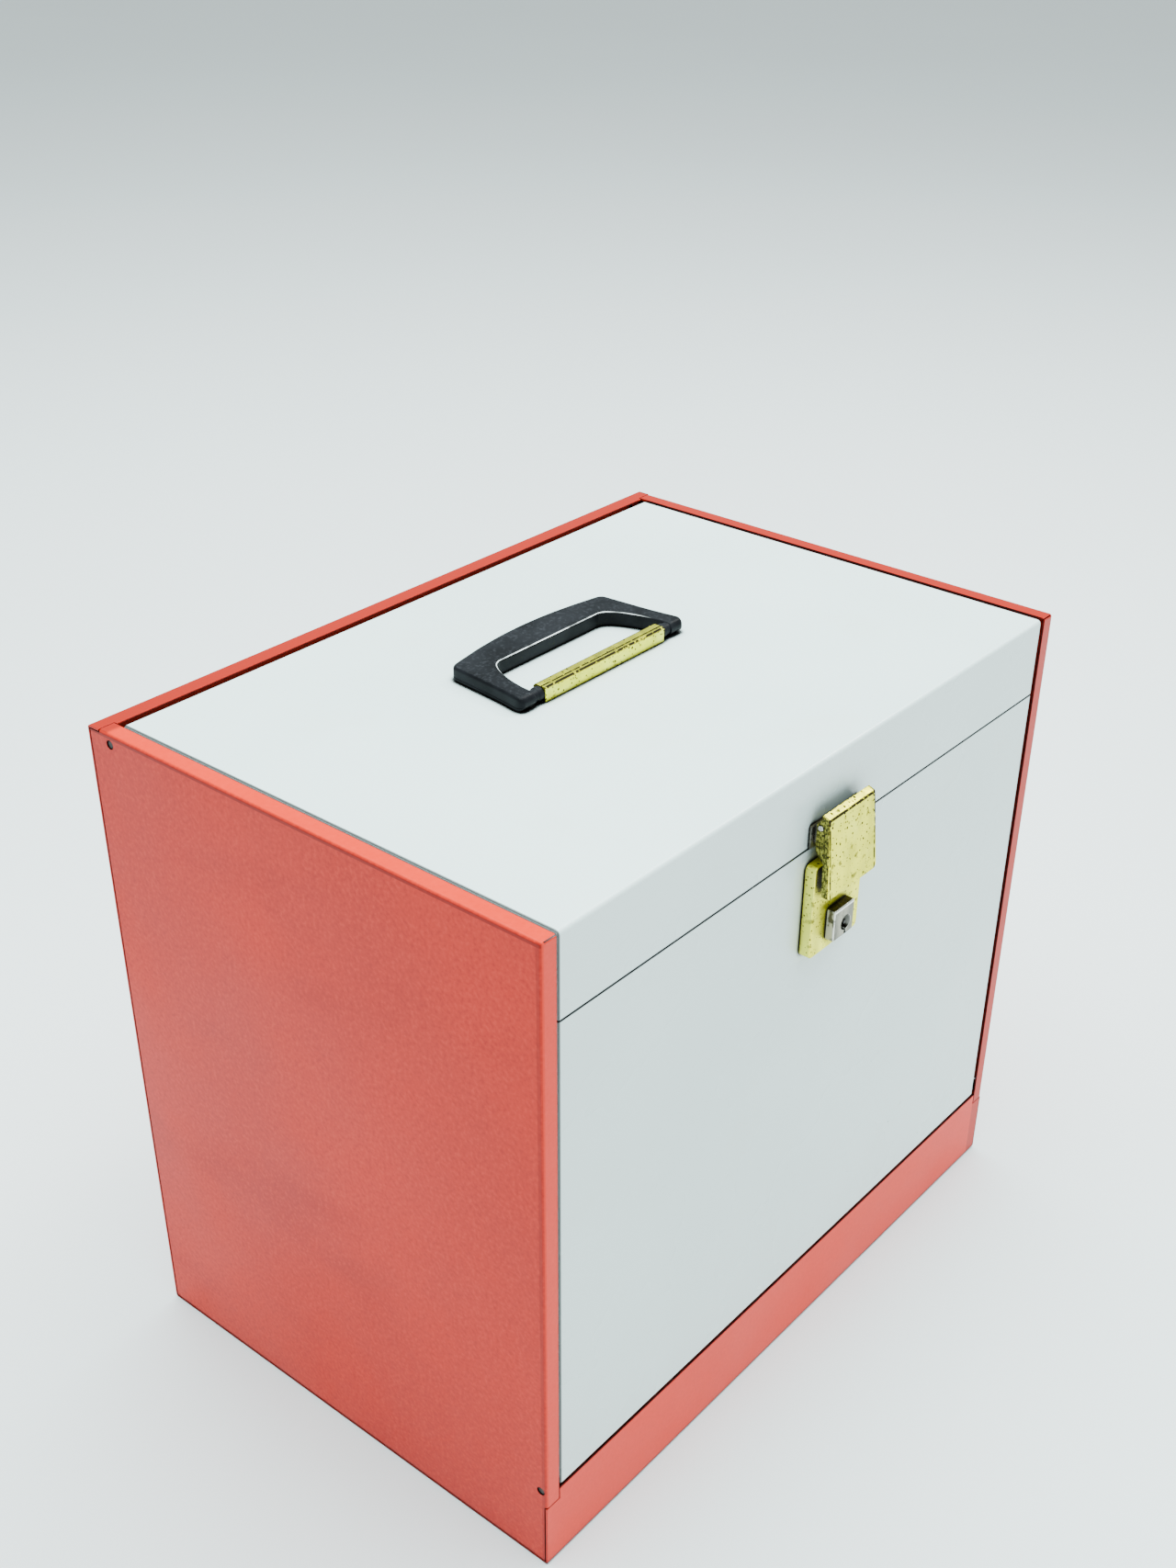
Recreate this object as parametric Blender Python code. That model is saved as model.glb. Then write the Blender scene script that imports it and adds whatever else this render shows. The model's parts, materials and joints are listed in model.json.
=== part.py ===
"""Two-tone lockable sheet-steel document box: lid, drop-front flap, folding handle and hasp lock.

Frame: metres, +Z up. The origin is the centre of the case's underside, +X runs to the right along the
front, and +Y runs to the rear. The front is at -Y.
"""

from math import atan2, cos, pi, radians, sin, sqrt, tan

import bmesh
import bpy
from mathutils import Matrix, Vector

MM = 0.001

# The case
CASE_WIDTH = 368.0 * MM
CASE_DEPTH = 252.6 * MM
CASE_HEIGHT = 328.4 * MM
SHEET = 1.0 * MM
GAP = 0.3 * MM  # between two pieces that lie against each other
SEAM = 0.5 * MM  # between the wrap and a side panel
BEND = 1.4 * MM  # outer radius of a fold
TUCKED_BEND = 0.8 * MM  # outer radius of a fold that the wrap covers
BEND_STEPS = 4

RIGHT = CASE_WIDTH / 2
FRONT = -CASE_DEPTH / 2
REAR = CASE_DEPTH / 2

# The wrap: front apron, bottom, rear panel and top strip, in one folded sheet
APRON_HEIGHT = 42.0 * MM
STRIP_WIDTH = 8.7 * MM
NOTCH_WIDTH = 8.4 * MM  # at each corner, where a side panel's flange tucks in
APRON_NOTCH = 6.0 * MM
STRIP_NOTCH = 1.5 * MM

# The side panels: shallow pans, open towards the inside
FLANGE = 7.9 * MM
MITRE_GAP = 0.55 * MM  # where the top and front flanges meet
MITRE_STOP = 1.6 * MM  # from the outer corner to the end of that gap

# The lid and the flap: pans that lie a little behind the flanges
PANEL_GAP = 1.7 * MM
PANEL_HALF_WIDTH = RIGHT - FLANGE - PANEL_GAP
PANEL_FRONT = FRONT + 0.7 * MM
LID_TOP = CASE_HEIGHT - 0.3 * MM
LID_REAR = 115.0 * MM
LID_BOTTOM = 289.6 * MM  # lower edge of the lid's front lip
FLAP_TOP = 288.9 * MM
FLAP_BOTTOM = 43.1 * MM
RETURN_DEPTH = 12.0 * MM
LID_BEND = 2.0 * MM
LID_SIDE_BEND = 1.0 * MM
FLAP_BEND = 0.8 * MM

# Pivot axes of the lid and the flap, both along X: (y, z)
LID_AXIS = (112.2 * MM, 323.3 * MM)
FLAP_AXIS = (FRONT + 3.4 * MM, 45.5 * MM)
PIN_RADIUS = 1.9 * MM
PIN_HOLE = 2.15 * MM
NECK_RADIUS = 1.4 * MM
NECK_HOLE = 1.65 * MM
PIN_RECESS = 0.4 * MM
PIN_CHAMFER = 0.3 * MM
PIN_CLEARANCE = 0.05 * MM

# Rails that suspension files hang from
RAIL_LENGTH = 208.0 * MM
RAIL_LIP_TOP = 308.0 * MM
RAIL_SHELF = 302.0 * MM
RAIL_FOOT = 284.0 * MM
RAIL_REACH = 9.5 * MM  # from the side sheet to the lip's inner face

# The handle: its bar and grip turn about an axis along X
HANDLE_X = -2.8 * MM
BAR_LENGTH = 82.4 * MM
BAR_WIDTH = 6.9 * MM
BAR_HEIGHT = 7.0 * MM
BAR_WALL = 0.8 * MM
BAR_SLOPE = 0.9 * MM
BAR_GROOVE = 0.35 * MM
BAR_GROOVE_PLACE = 2.2 * MM  # from the bar's front face
HANDLE_AXIS = (-2.2 * MM, LID_TOP + GAP + BAR_HEIGHT / 2)
ROD_RADIUS = 1.4 * MM
ROD_OVERHANG = 6.5 * MM  # into each lug of the grip
GRIP_THICKNESS = 7.0 * MM
LUG_RADIUS = GRIP_THICKNESS / 2 - 0.2 * MM
LUG_GAP = 0.4 * MM
LUG_END = 49.5 * MM
HANDLE_RIVETS = [(HANDLE_X - 26.0 * MM, HANDLE_AXIS[0]), (HANDLE_X + 26.0 * MM, HANDLE_AXIS[0])]
BACKING_SIZE = (76.0 * MM, 16.0 * MM, 1.0 * MM)
BACKING_CORNER = 3.0 * MM

# The hasp's plate on the lid's lip
HASP_X = 1.8 * MM
HASP_AXIS = (FRONT - 4.3 * MM, 300.8 * MM)
BASE_PLATE = 1.0 * MM
PLATE_BACK = PANEL_FRONT - GAP
PLATE_FACE = PLATE_BACK - BASE_PLATE
HINGE_PLATE_WIDTH = 36.6 * MM
HINGE_PLATE_BOTTOM = 289.8 * MM
HINGE_PLATE_TOP = 300.4 * MM
HINGE_EAR = 1.0 * MM
HINGE_EAR_RADIUS = 2.5 * MM
HINGE_RIVETS = [(HASP_X - 8.0 * MM, 295.6 * MM), (HASP_X + 8.0 * MM, 295.6 * MM)]
HASP_PIN_RADIUS = 1.3 * MM
HASP_PIN_HOLE = 1.6 * MM

# The hasp: a cover that leans out a little from top to bottom
HASP_TOP = 305.4 * MM
HASP_BOTTOM = 268.2 * MM
HASP_TOP_WIDTH = 34.8 * MM
HASP_BOTTOM_WIDTH = 38.0 * MM
HASP_TOP_FACE = FRONT - 8.3 * MM
HASP_STRIP_DEPTH = 3.6 * MM  # of the narrow strip that slopes up behind the top fold
HASP_STRIP_RISE = 1.3 * MM
HASP_BOTTOM_FACE = FRONT - 11.4 * MM
HASP_SHEET = 0.9 * MM
HASP_LIP = 3.2 * MM  # depth of the folded edge down each side
HASP_EAR_REAR = FRONT - 2.4 * MM
HASP_EAR_BOTTOM = 288.6 * MM
HASP_CORNER = 2.5 * MM
HASP_FOLD = 0.7 * MM

# The lock's case on the flap
LATCH_X = 1.0 * MM
LOCK_WIDTH = 37.0 * MM
LOCK_BOTTOM = 236.2 * MM
LOCK_TOP = 282.0 * MM
LOCK_FACE = FRONT - 4.9 * MM
LOCK_WALL = 0.9 * MM
LOCK_CORNER = 2.4 * MM
LOCK_FOLD = 0.6 * MM
LOCK_RIVETS = [(LATCH_X - 13.0 * MM, 244.5 * MM), (LATCH_X + 13.0 * MM, 276.0 * MM)]
HOOK_SLOT = (270.0 * MM, 277.0 * MM)
HOOK_HALF_WIDTH = 2.2 * MM
SLOT_CLEARANCE = 0.5 * MM

# The button, and the slide and the cam behind the case's face
BUTTON_X = 1.1 * MM
BUTTON_WIDTH = 15.2 * MM
BUTTON_BOTTOM = 241.8 * MM
BUTTON_TOP = 257.3 * MM
BUTTON_FACE = FRONT - 9.5 * MM
BUTTON_EDGE = 0.8 * MM
BOSS_WIDTH = 12.4 * MM
BOSS_HEIGHT = 9.8 * MM
BOSS_Z = 248.6 * MM
BUTTON_TRAVEL = 4.0 * MM
SLIDE_FRONT = LOCK_FACE + LOCK_WALL + 0.5 * MM
SLIDE_PLATE = 1.0 * MM
SLIDE_HALF_WIDTH = 11.0 * MM
SLIDE_HALF_HEIGHT = 8.0 * MM
FINGER_HALF_WIDTH = 1.6 * MM
FINGER_TOP = 276.0 * MM
KEY_X = 2.5 * MM
KEY_Z = 248.0 * MM
KEY_RADIUS = 3.7 * MM
KEY_SLOT_WIDTH = 1.5 * MM
KEY_SLOT_DEPTH = 5.6 * MM
POST_RADIUS = 1.1 * MM
CAM_FRONT = SLIDE_FRONT + SLIDE_PLATE + 0.4 * MM
CAM_THICKNESS = 1.0 * MM
CAM_RADIUS = 3.2 * MM
CAM_LOBE = 6.0 * MM
CAM_LOBE_HALF = 1.4 * MM
SPRING_WIRE = 0.25 * MM
SPRING_RADIUS = 0.9 * MM
SPRING_TURNS = 6
SPRING_Z = 264.5 * MM

# Rivets
PLATE_RIVET_SHANK = 1.0 * MM
PLATE_RIVET_HEAD = 2.2 * MM
PLATE_RIVET_HOLE = 1.3 * MM
HANDLE_RIVET_SHANK = 1.3 * MM
HANDLE_RIVET_HEAD = 2.2 * MM
HANDLE_RIVET_TAIL = 2.7 * MM
HANDLE_RIVET_HOLE = 1.6 * MM

SPARE = 1.0 * MM  # how far a cutter runs past what it cuts
NEAR = 0.1 * MM  # how close to a face an edge counts as being on it

# Colour, roughness and metallic value of each finish
FINISHES = {
    "coral_paint": ((0.60, 0.13, 0.10), 0.42, 0.0),
    "white_paint": ((0.70, 0.74, 0.74), 0.32, 0.0),
    "brass": ((0.72, 0.66, 0.34), 0.35, 1.0),
    "steel": ((0.45, 0.45, 0.46), 0.38, 1.0),
    "nickel": ((0.58, 0.56, 0.53), 0.22, 1.0),
    "black_plastic": ((0.018, 0.019, 0.022), 0.38, 0.0),
}


def clear_scene():
    for old in list(bpy.data.objects):
        bpy.data.objects.remove(old, do_unlink=True)


def make_materials():
    """One Principled material for each finish, by name."""
    made = {}
    for name, (colour, roughness, metallic) in FINISHES.items():
        material = bpy.data.materials.new(name)
        material.use_nodes = True
        shader = material.node_tree.nodes["Principled BSDF"]
        shader.inputs["Base Color"].default_value = (*colour, 1.0)
        shader.inputs["Roughness"].default_value = roughness
        shader.inputs["Metallic"].default_value = metallic
        made[name] = material
    return made


# Shapes. Each function below gives a closed bmesh in world coordinates.


def block(low, high):
    """A box between two corners."""
    shape = bmesh.new()
    bmesh.ops.create_cube(shape, size=1.0)
    low, high = Vector(low), Vector(high)
    for vert in shape.verts:
        vert.co = [low[i] + (vert.co[i] + 0.5) * (high[i] - low[i]) for i in range(3)]
    return shape


def prism(outline, axis, start, end):
    """An outline in the plane across an axis, extruded along it from start to end.

    The outline's points are (y, z) for axis 0, (x, z) for axis 1 and (x, y) for axis 2.
    """
    across = [i for i in range(3) if i != axis]
    shape = bmesh.new()
    ring = []
    for first, second in outline:
        point = [0.0, 0.0, 0.0]
        point[across[0]], point[across[1]], point[axis] = first, second, start
        ring.append(shape.verts.new(point))
    face = shape.faces.new(ring)
    moved = bmesh.ops.extrude_face_region(shape, geom=[face])["geom"]
    step = Vector((0.0, 0.0, 0.0))
    step[axis] = end - start
    for item in moved:
        if isinstance(item, bmesh.types.BMVert):
            item.co += step
    bmesh.ops.recalc_face_normals(shape, faces=shape.faces[:])
    return shape


def turned(profile, axis, centre, steps=20):
    """A round piece: (along, radius) points turned about an axis through centre."""
    across = [i for i in range(3) if i != axis]
    shape = bmesh.new()
    rings = []
    for along, radius in profile:
        ring = []
        for k in range(steps):
            angle = 2 * pi * (k + 0.5) / steps
            point = [0.0, 0.0, 0.0]
            point[axis] = along
            point[across[0]] = centre[0] + radius * cos(angle)
            point[across[1]] = centre[1] + radius * sin(angle)
            ring.append(shape.verts.new(point))
        rings.append(ring)
    for ring, after in zip(rings, rings[1:]):
        for k in range(steps):
            shape.faces.new((ring[k], ring[(k + 1) % steps], after[(k + 1) % steps], after[k]))
    shape.faces.new(rings[0])
    shape.faces.new(rings[-1])
    bmesh.ops.recalc_face_normals(shape, faces=shape.faces[:])
    return shape


def drill(axis, start, end, centre, radius, steps=12):
    """A plain cylinder along an axis."""
    return turned([(start, radius), (end, radius)], axis, centre, steps)


def rounded(shape, radius, steps, chosen):
    """Rounds the edges whose midpoint and direction the chosen function accepts."""
    edges = []
    for edge in shape.edges:
        start, end = (vert.co for vert in edge.verts)
        if chosen((start + end) / 2, (end - start).normalized()):
            edges.append(edge)
    bmesh.ops.bevel(
        shape, geom=edges, offset=radius, segments=steps, profile=0.5, affect="EDGES", clamp_overlap=True
    )
    bmesh.ops.recalc_face_normals(shape, faces=shape.faces[:])
    return shape


def arc(centre, radius, start, end, steps):
    """Points on an arc, from one angle to another in degrees."""
    angles = [radians(start + (end - start) * k / steps) for k in range(steps + 1)]
    return [(centre[0] + radius * cos(a), centre[1] + radius * sin(a)) for a in angles]


def folded(path, thickness, radius, steps=BEND_STEPS):
    """The outline of a folded sheet: its outer face follows the path and its body lies to the left of it."""
    points = [Vector(point) for point in path]
    outer, inner = [], []
    for k, point in enumerate(points):
        if k in (0, len(points) - 1):
            other = points[1] if k == 0 else points[-2]
            along = (other - point if k == 0 else point - other).normalized()
            left = Vector((-along.y, along.x))
            outer.append(point)
            inner.append(point + left * thickness)
            continue
        before = (point - points[k - 1]).normalized()
        after = (points[k + 1] - point).normalized()
        turn = before.x * after.y - before.y * after.x
        side = Vector((-before.y, before.x)) if turn > 0 else Vector((before.y, -before.x))
        # A left turn has its centre on the body's side, so the outer face has the large radius there.
        small = radius - thickness
        outer_radius, inner_radius = (radius, small) if turn > 0 else (small, radius)
        centre = point - before * outer_radius * tan(abs(turn_angle(before, after)) / 2) + side * outer_radius
        start = atan2(-side.y, -side.x)
        for step in range(steps + 1):
            angle = start + turn_angle(before, after) * step / steps
            reach = Vector((cos(angle), sin(angle)))
            outer.append(centre + reach * outer_radius)
            inner.append(centre + reach * inner_radius)
    return [tuple(point) for point in outer + inner[::-1]]


def turn_angle(before, after):
    """The signed angle from one direction to the next, anticlockwise above zero."""
    return atan2(before.x * after.y - before.y * after.x, before.dot(after))


# Objects


def add_object(name, shape, material=None, origin=(0.0, 0.0, 0.0)):
    """Makes an object of a bmesh, with its origin at the given point."""
    shape.transform(Matrix.Translation(-Vector(origin)))
    bmesh.ops.triangulate(shape, faces=[face for face in shape.faces if len(face.verts) > 4])
    mesh = bpy.data.meshes.new(name)
    shape.to_mesh(mesh)
    shape.free()
    obj = bpy.data.objects.new(name, mesh)
    obj.location = origin
    bpy.context.collection.objects.link(obj)
    if material:
        mesh.materials.append(material)
        mesh.shade_smooth()
        mesh.set_sharp_from_angle(angle=radians(32))
    return obj


def combine(obj, shape, operation="DIFFERENCE"):
    """Cuts a shape from an object, or joins it, with a Boolean that stays on the object."""
    cutter = add_object(f"{obj.name}_{operation.lower()}_{len(obj.modifiers)}", shape)
    cutter.hide_render = True
    cutter.display_type = "WIRE"
    modifier = obj.modifiers.new(cutter.name, "BOOLEAN")
    modifier.operation = operation
    modifier.object = cutter
    modifier.solver = "EXACT"


def hinge_empty(name, location, parent=None):
    """An empty on a joint's axis, which carries a moving body."""
    empty = bpy.data.objects.new(name, None)
    empty.empty_display_size = 0.02
    empty.location = location
    bpy.context.collection.objects.link(empty)
    if parent:
        attach(parent, [empty])
    return empty


def attach(parent, children):
    """Parents objects to an empty and leaves them where they are."""
    bpy.context.view_layer.update()
    for child in children:
        child.parent = parent
        child.matrix_parent_inverse = parent.matrix_world.inverted()


def mirrored_x(side, near, far):
    """A low and high x for a feature on one side, from its distances to the centre plane."""
    return (near, far) if side > 0 else (-far, -near)


# The fixed case


def make_base_wrap(paint):
    path = [
        (FRONT, APRON_HEIGHT),
        (FRONT, 0.0),
        (REAR, 0.0),
        (REAR, CASE_HEIGHT),
        (REAR - STRIP_WIDTH, CASE_HEIGHT),
    ]
    wrap = add_object("base_wrap", prism(folded(path, SHEET, BEND), 0, -RIGHT, RIGHT), paint)
    strip_front = REAR - STRIP_WIDTH
    for side in (-1, 1):
        x_low, x_high = mirrored_x(side, RIGHT - NOTCH_WIDTH, RIGHT + SPARE)
        apron_low = (x_low, FRONT - SPARE, APRON_HEIGHT - APRON_NOTCH)
        apron_high = (x_high, FRONT + SHEET + SPARE, APRON_HEIGHT + SPARE)
        combine(wrap, block(apron_low, apron_high))
        strip_low = (x_low, strip_front - SPARE, CASE_HEIGHT - SHEET - SPARE)
        strip_high = (x_high, strip_front + STRIP_NOTCH, CASE_HEIGHT + SPARE)
        combine(wrap, block(strip_low, strip_high))
    return wrap


def make_side_panel(side, paint):
    """A pan with a flange on all four edges. The wrap covers the bottom and rear ones."""
    name = "side_panel_left" if side < 0 else "side_panel_right"
    inner_x = RIGHT - FLANGE
    rear_edge = REAR - SHEET - SEAM
    bottom_edge = SHEET + SEAM
    x_low, x_high = mirrored_x(side, inner_x, RIGHT)
    outer = block((x_low, FRONT, bottom_edge), (x_high, rear_edge, CASE_HEIGHT))

    def shown_fold(middle, along):
        on_face = abs(middle.x) > RIGHT - NEAR
        at_front = middle.y < FRONT + NEAR
        at_top = middle.z > CASE_HEIGHT - NEAR
        return (on_face and (at_front or at_top)) or (at_front and at_top)

    def tucked_fold(middle, along):
        on_face = abs(middle.x) > RIGHT - NEAR
        at_rear = middle.y > rear_edge - NEAR
        at_bottom = middle.z < bottom_edge + NEAR
        return on_face and (at_rear or at_bottom)

    rounded(outer, BEND, BEND_STEPS, shown_fold)
    rounded(outer, TUCKED_BEND, 2, tucked_fold)
    panel = add_object(name, outer, paint)

    hollow_low, hollow_high = mirrored_x(side, inner_x - SPARE, RIGHT - SHEET)
    hollow = block(
        (hollow_low, FRONT + SHEET, bottom_edge + SHEET),
        (hollow_high, rear_edge - SHEET, CASE_HEIGHT - SHEET),
    )

    def inner_fold(middle, along):
        return abs(middle.x) > inner_x + SPARE or abs(along.x) > 0.9

    rounded(hollow, BEND - SHEET, 2, inner_fold)
    combine(panel, hollow)
    mitre_low, mitre_high = mirrored_x(side, inner_x - SPARE, RIGHT - MITRE_STOP)
    combine(panel, prism(mitre_outline(), 0, mitre_low, mitre_high))

    # The wrap's apron and top strip take the place of the flanges at two corners.
    wide_low, wide_high = mirrored_x(side, inner_x - SPARE, RIGHT + SPARE)
    notch_top = APRON_HEIGHT - APRON_NOTCH + SEAM
    combine(panel, block((wide_low, FRONT - SPARE, 0.0), (wide_high, FRONT + SHEET + SEAM, notch_top)))
    strip_edge = REAR - STRIP_WIDTH + STRIP_NOTCH - SEAM
    strip_under = CASE_HEIGHT - SHEET - SEAM
    combine(panel, block((wide_low, strip_edge, strip_under), (wide_high, REAR, CASE_HEIGHT + SPARE)))

    hole_low, hole_high = mirrored_x(side, RIGHT - SHEET - SPARE, RIGHT + SPARE)
    for centre in (LID_AXIS, FLAP_AXIS):
        combine(panel, turned([(hole_low, PIN_HOLE), (hole_high, PIN_HOLE)], 0, centre))
    return panel


def mitre_outline():
    """A narrow diagonal band across the edge where the top and front flanges meet."""
    half = MITRE_GAP / 2 / sqrt(2)
    ends = ((FRONT - SPARE, CASE_HEIGHT + SPARE), (FRONT + 3 * SHEET, CASE_HEIGHT - 3 * SHEET))
    (outer_y, outer_z), (inner_y, inner_z) = ends
    return [
        (outer_y - half, outer_z - half),
        (inner_y - half, inner_z - half),
        (inner_y + half, inner_z + half),
        (outer_y + half, outer_z + half),
    ]


def make_file_rail(side, paint):
    """A folded strip along one side, with a shelf and a lip that the files' hooks sit on."""
    name = "file_rail_left" if side < 0 else "file_rail_right"
    wall = RIGHT - SHEET - GAP
    lip = RIGHT - SHEET - RAIL_REACH
    path = [(wall, RAIL_FOOT), (wall, RAIL_SHELF), (lip, RAIL_SHELF), (lip, RAIL_LIP_TOP)]
    outline = [(side * x, z) for x, z in folded(path, SHEET, BEND, 3)]
    return add_object(name, prism(outline, 1, -RAIL_LENGTH / 2, RAIL_LENGTH / 2), paint)


# The lid and the flap


def lid_outline(front, top, rear, bend, lip_back, lip_bottom, return_bottom):
    """The lid's section along its depth: front lip, round fold, top sheet, round fold and rear return."""
    front_fold = arc((front + bend, top - bend), bend, 180, 90, BEND_STEPS)
    rear_fold = arc((rear - bend, top - bend), bend, 90, 0, BEND_STEPS)
    foot = [(rear, return_bottom), (lip_back, return_bottom), (lip_back, lip_bottom)]
    return [(front, lip_bottom)] + front_fold + rear_fold + foot


def lid_side_fold(middle, along):
    """Accepts the edges round each side of the lid, but not those of its open underside."""
    at_side = abs(middle.x) > PANEL_HALF_WIDTH - NEAR
    at_top = middle.z > LID_TOP - LID_BEND
    at_end = middle.y < PANEL_FRONT + NEAR or middle.y > LID_REAR - NEAR
    return at_side and (at_top or (at_end and abs(along.z) > 0.9))


def make_lid_shell(paint):
    """Top sheet, front lip and side and rear returns, in one pan that is open towards the inside."""
    lip_back = PANEL_FRONT + RETURN_DEPTH
    return_bottom = LID_TOP - RETURN_DEPTH
    outline = lid_outline(PANEL_FRONT, LID_TOP, LID_REAR, LID_BEND, lip_back, LID_BOTTOM, return_bottom)
    outer = prism(outline, 0, -PANEL_HALF_WIDTH, PANEL_HALF_WIDTH)
    rounded(outer, LID_SIDE_BEND, BEND_STEPS, lid_side_fold)
    lid = add_object("lid_shell", outer, paint)

    front, top, rear = PANEL_FRONT + SHEET, LID_TOP - SHEET, LID_REAR - SHEET
    below = return_bottom - 3 * SPARE
    behind = lip_back + 3 * SPARE
    inner_bend = LID_BEND - SHEET
    inner_outline = lid_outline(front, top, rear, inner_bend, behind, LID_BOTTOM + SHEET, below)
    half = PANEL_HALF_WIDTH - SHEET
    combine(lid, prism(inner_outline, 0, -half, half))

    cut_neck_holes(lid, LID_AXIS)
    for centre in HANDLE_RIVETS:
        combine(lid, drill(2, LID_TOP - 2 * SHEET, LID_TOP + SHEET, centre, HANDLE_RIVET_HOLE))
    cut_plate_rivet_holes(lid, PANEL_FRONT, PANEL_FRONT + SHEET, HINGE_RIVETS)
    return lid


def make_front_flap(paint):
    """A pan with a return on all four edges, open towards the inside."""
    back = PANEL_FRONT + RETURN_DEPTH
    outer = block((-PANEL_HALF_WIDTH, PANEL_FRONT, FLAP_BOTTOM), (PANEL_HALF_WIDTH, back, FLAP_TOP))

    def fold(middle, along):
        at_front = middle.y < PANEL_FRONT + NEAR
        at_side = abs(middle.x) > PANEL_HALF_WIDTH - NEAR
        at_bottom = middle.z < FLAP_BOTTOM + NEAR
        return (at_front and (at_side or at_bottom)) or (at_side and at_bottom)

    rounded(outer, FLAP_BEND, BEND_STEPS, fold)
    flap = add_object("front_flap", outer, paint)
    half = PANEL_HALF_WIDTH - SHEET
    combine(
        flap, block((-half, PANEL_FRONT + SHEET, FLAP_BOTTOM + SHEET), (half, back + SPARE, FLAP_TOP - SHEET))
    )
    cut_neck_holes(flap, FLAP_AXIS)
    cut_plate_rivet_holes(flap, PANEL_FRONT, PANEL_FRONT + SHEET, LOCK_RIVETS)
    return flap


def cut_neck_holes(panel, centre):
    """The holes in a panel's two side returns that its pivots' necks are fixed in."""
    for side in (-1, 1):
        start, end = mirrored_x(side, PANEL_HALF_WIDTH - 1.1 * SHEET, PANEL_HALF_WIDTH + SHEET)
        combine(panel, drill(0, start, end, centre, NECK_HOLE, 20))


def cut_plate_rivet_holes(piece, front, back, centres):
    for centre in centres:
        combine(piece, drill(1, front - SPARE, back + SPARE, centre, PLATE_RIVET_HOLE))


def make_pivot(name, side, centre, steel):
    """A stepped pin: its thick end turns in the side panel's hole and its neck is fixed in the return."""
    outer_end = RIGHT - PIN_RECESS
    shoulder = PANEL_HALF_WIDTH + GAP
    inner_end = PANEL_HALF_WIDTH - SHEET + PIN_CLEARANCE
    profile = [
        (side * inner_end, NECK_RADIUS),
        (side * shoulder, NECK_RADIUS),
        (side * shoulder, PIN_RADIUS),
        (side * (outer_end - PIN_CHAMFER), PIN_RADIUS),
        (side * outer_end, PIN_RADIUS - PIN_CHAMFER),
    ]
    return add_object(name, turned(profile, 0, centre), steel, (0.0, *centre))


# The handle


def make_handle_channel(brass):
    """A brass tube of square section, with sloped upper edges and a shallow groove along its top."""
    axis_y, axis_z = HANDLE_AXIS
    front, rear = axis_y - BAR_WIDTH / 2, axis_y + BAR_WIDTH / 2
    low, high = axis_z - BAR_HEIGHT / 2, axis_z + BAR_HEIGHT / 2
    outline = [
        (front, low),
        (rear, low),
        (rear, high - BAR_SLOPE),
        (rear - BAR_SLOPE, high),
        (front + BAR_GROOVE_PLACE + BAR_GROOVE, high),
        (front + BAR_GROOVE_PLACE, high - BAR_GROOVE),
        (front + BAR_GROOVE_PLACE - BAR_GROOVE, high),
        (front + BAR_SLOPE, high),
        (front, high - BAR_SLOPE),
    ]
    start, end = HANDLE_X - BAR_LENGTH / 2, HANDLE_X + BAR_LENGTH / 2
    channel = add_object("handle_channel", prism(outline, 0, start, end), brass)
    bore_low = (start - SPARE, front + BAR_WALL, low + BAR_WALL)
    bore_high = (end + SPARE, rear - BAR_WALL, high - 1.25 * BAR_WALL)
    combine(channel, block(bore_low, bore_high))
    for centre in HANDLE_RIVETS:
        combine(channel, drill(2, low - SPARE, low + 1.2 * BAR_WALL, centre, HANDLE_RIVET_HOLE))
    return channel


def make_handle_rod(steel):
    return make_pin("handle_rod", HANDLE_X, BAR_LENGTH / 2 + ROD_OVERHANG, ROD_RADIUS, HANDLE_AXIS, steel)


def make_pin(name, middle, half, radius, centre, steel):
    """A plain pin along X with chamfered ends."""
    profile = [
        (middle - half, radius - PIN_CHAMFER),
        (middle - half + PIN_CHAMFER, radius),
        (middle + half - PIN_CHAMFER, radius),
        (middle + half, radius - PIN_CHAMFER),
    ]
    return add_object(name, turned(profile, 0, centre, 16), steel, (middle, *centre))


def make_handle_backing_plate(steel):
    """The steel strip under the lid that the handle's rivets close on."""
    length, width, thickness = BACKING_SIZE
    top = LID_TOP - SHEET - GAP
    plate = block(
        (HANDLE_X - length / 2, HANDLE_AXIS[0] - width / 2, top - thickness),
        (HANDLE_X + length / 2, HANDLE_AXIS[0] + width / 2, top),
    )
    rounded(plate, BACKING_CORNER, 3, lambda middle, along: abs(along.z) > 0.9)
    plate = add_object("handle_backing_plate", plate, steel)
    for centre in HANDLE_RIVETS:
        combine(plate, drill(2, top - 2 * thickness, top + thickness, centre, HANDLE_RIVET_HOLE))
    return plate


def make_handle_rivet(name, centre, steel):
    """Its flat head is in the channel, and its tail closes under the backing plate."""
    floor = HANDLE_AXIS[1] - BAR_HEIGHT / 2 + BAR_WALL + GAP
    under = LID_TOP - SHEET - GAP - BACKING_SIZE[2] - GAP
    profile = [
        (under - 1.1 * MM, 0.6 * HANDLE_RIVET_TAIL),
        (under - 0.6 * MM, HANDLE_RIVET_TAIL),
        (under, HANDLE_RIVET_TAIL),
        (under, HANDLE_RIVET_SHANK),
        (floor, HANDLE_RIVET_SHANK),
        (floor, HANDLE_RIVET_HEAD),
        (floor + 0.7 * MM, HANDLE_RIVET_HEAD),
    ]
    return add_object(name, turned(profile, 2, centre, 12), steel)


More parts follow.
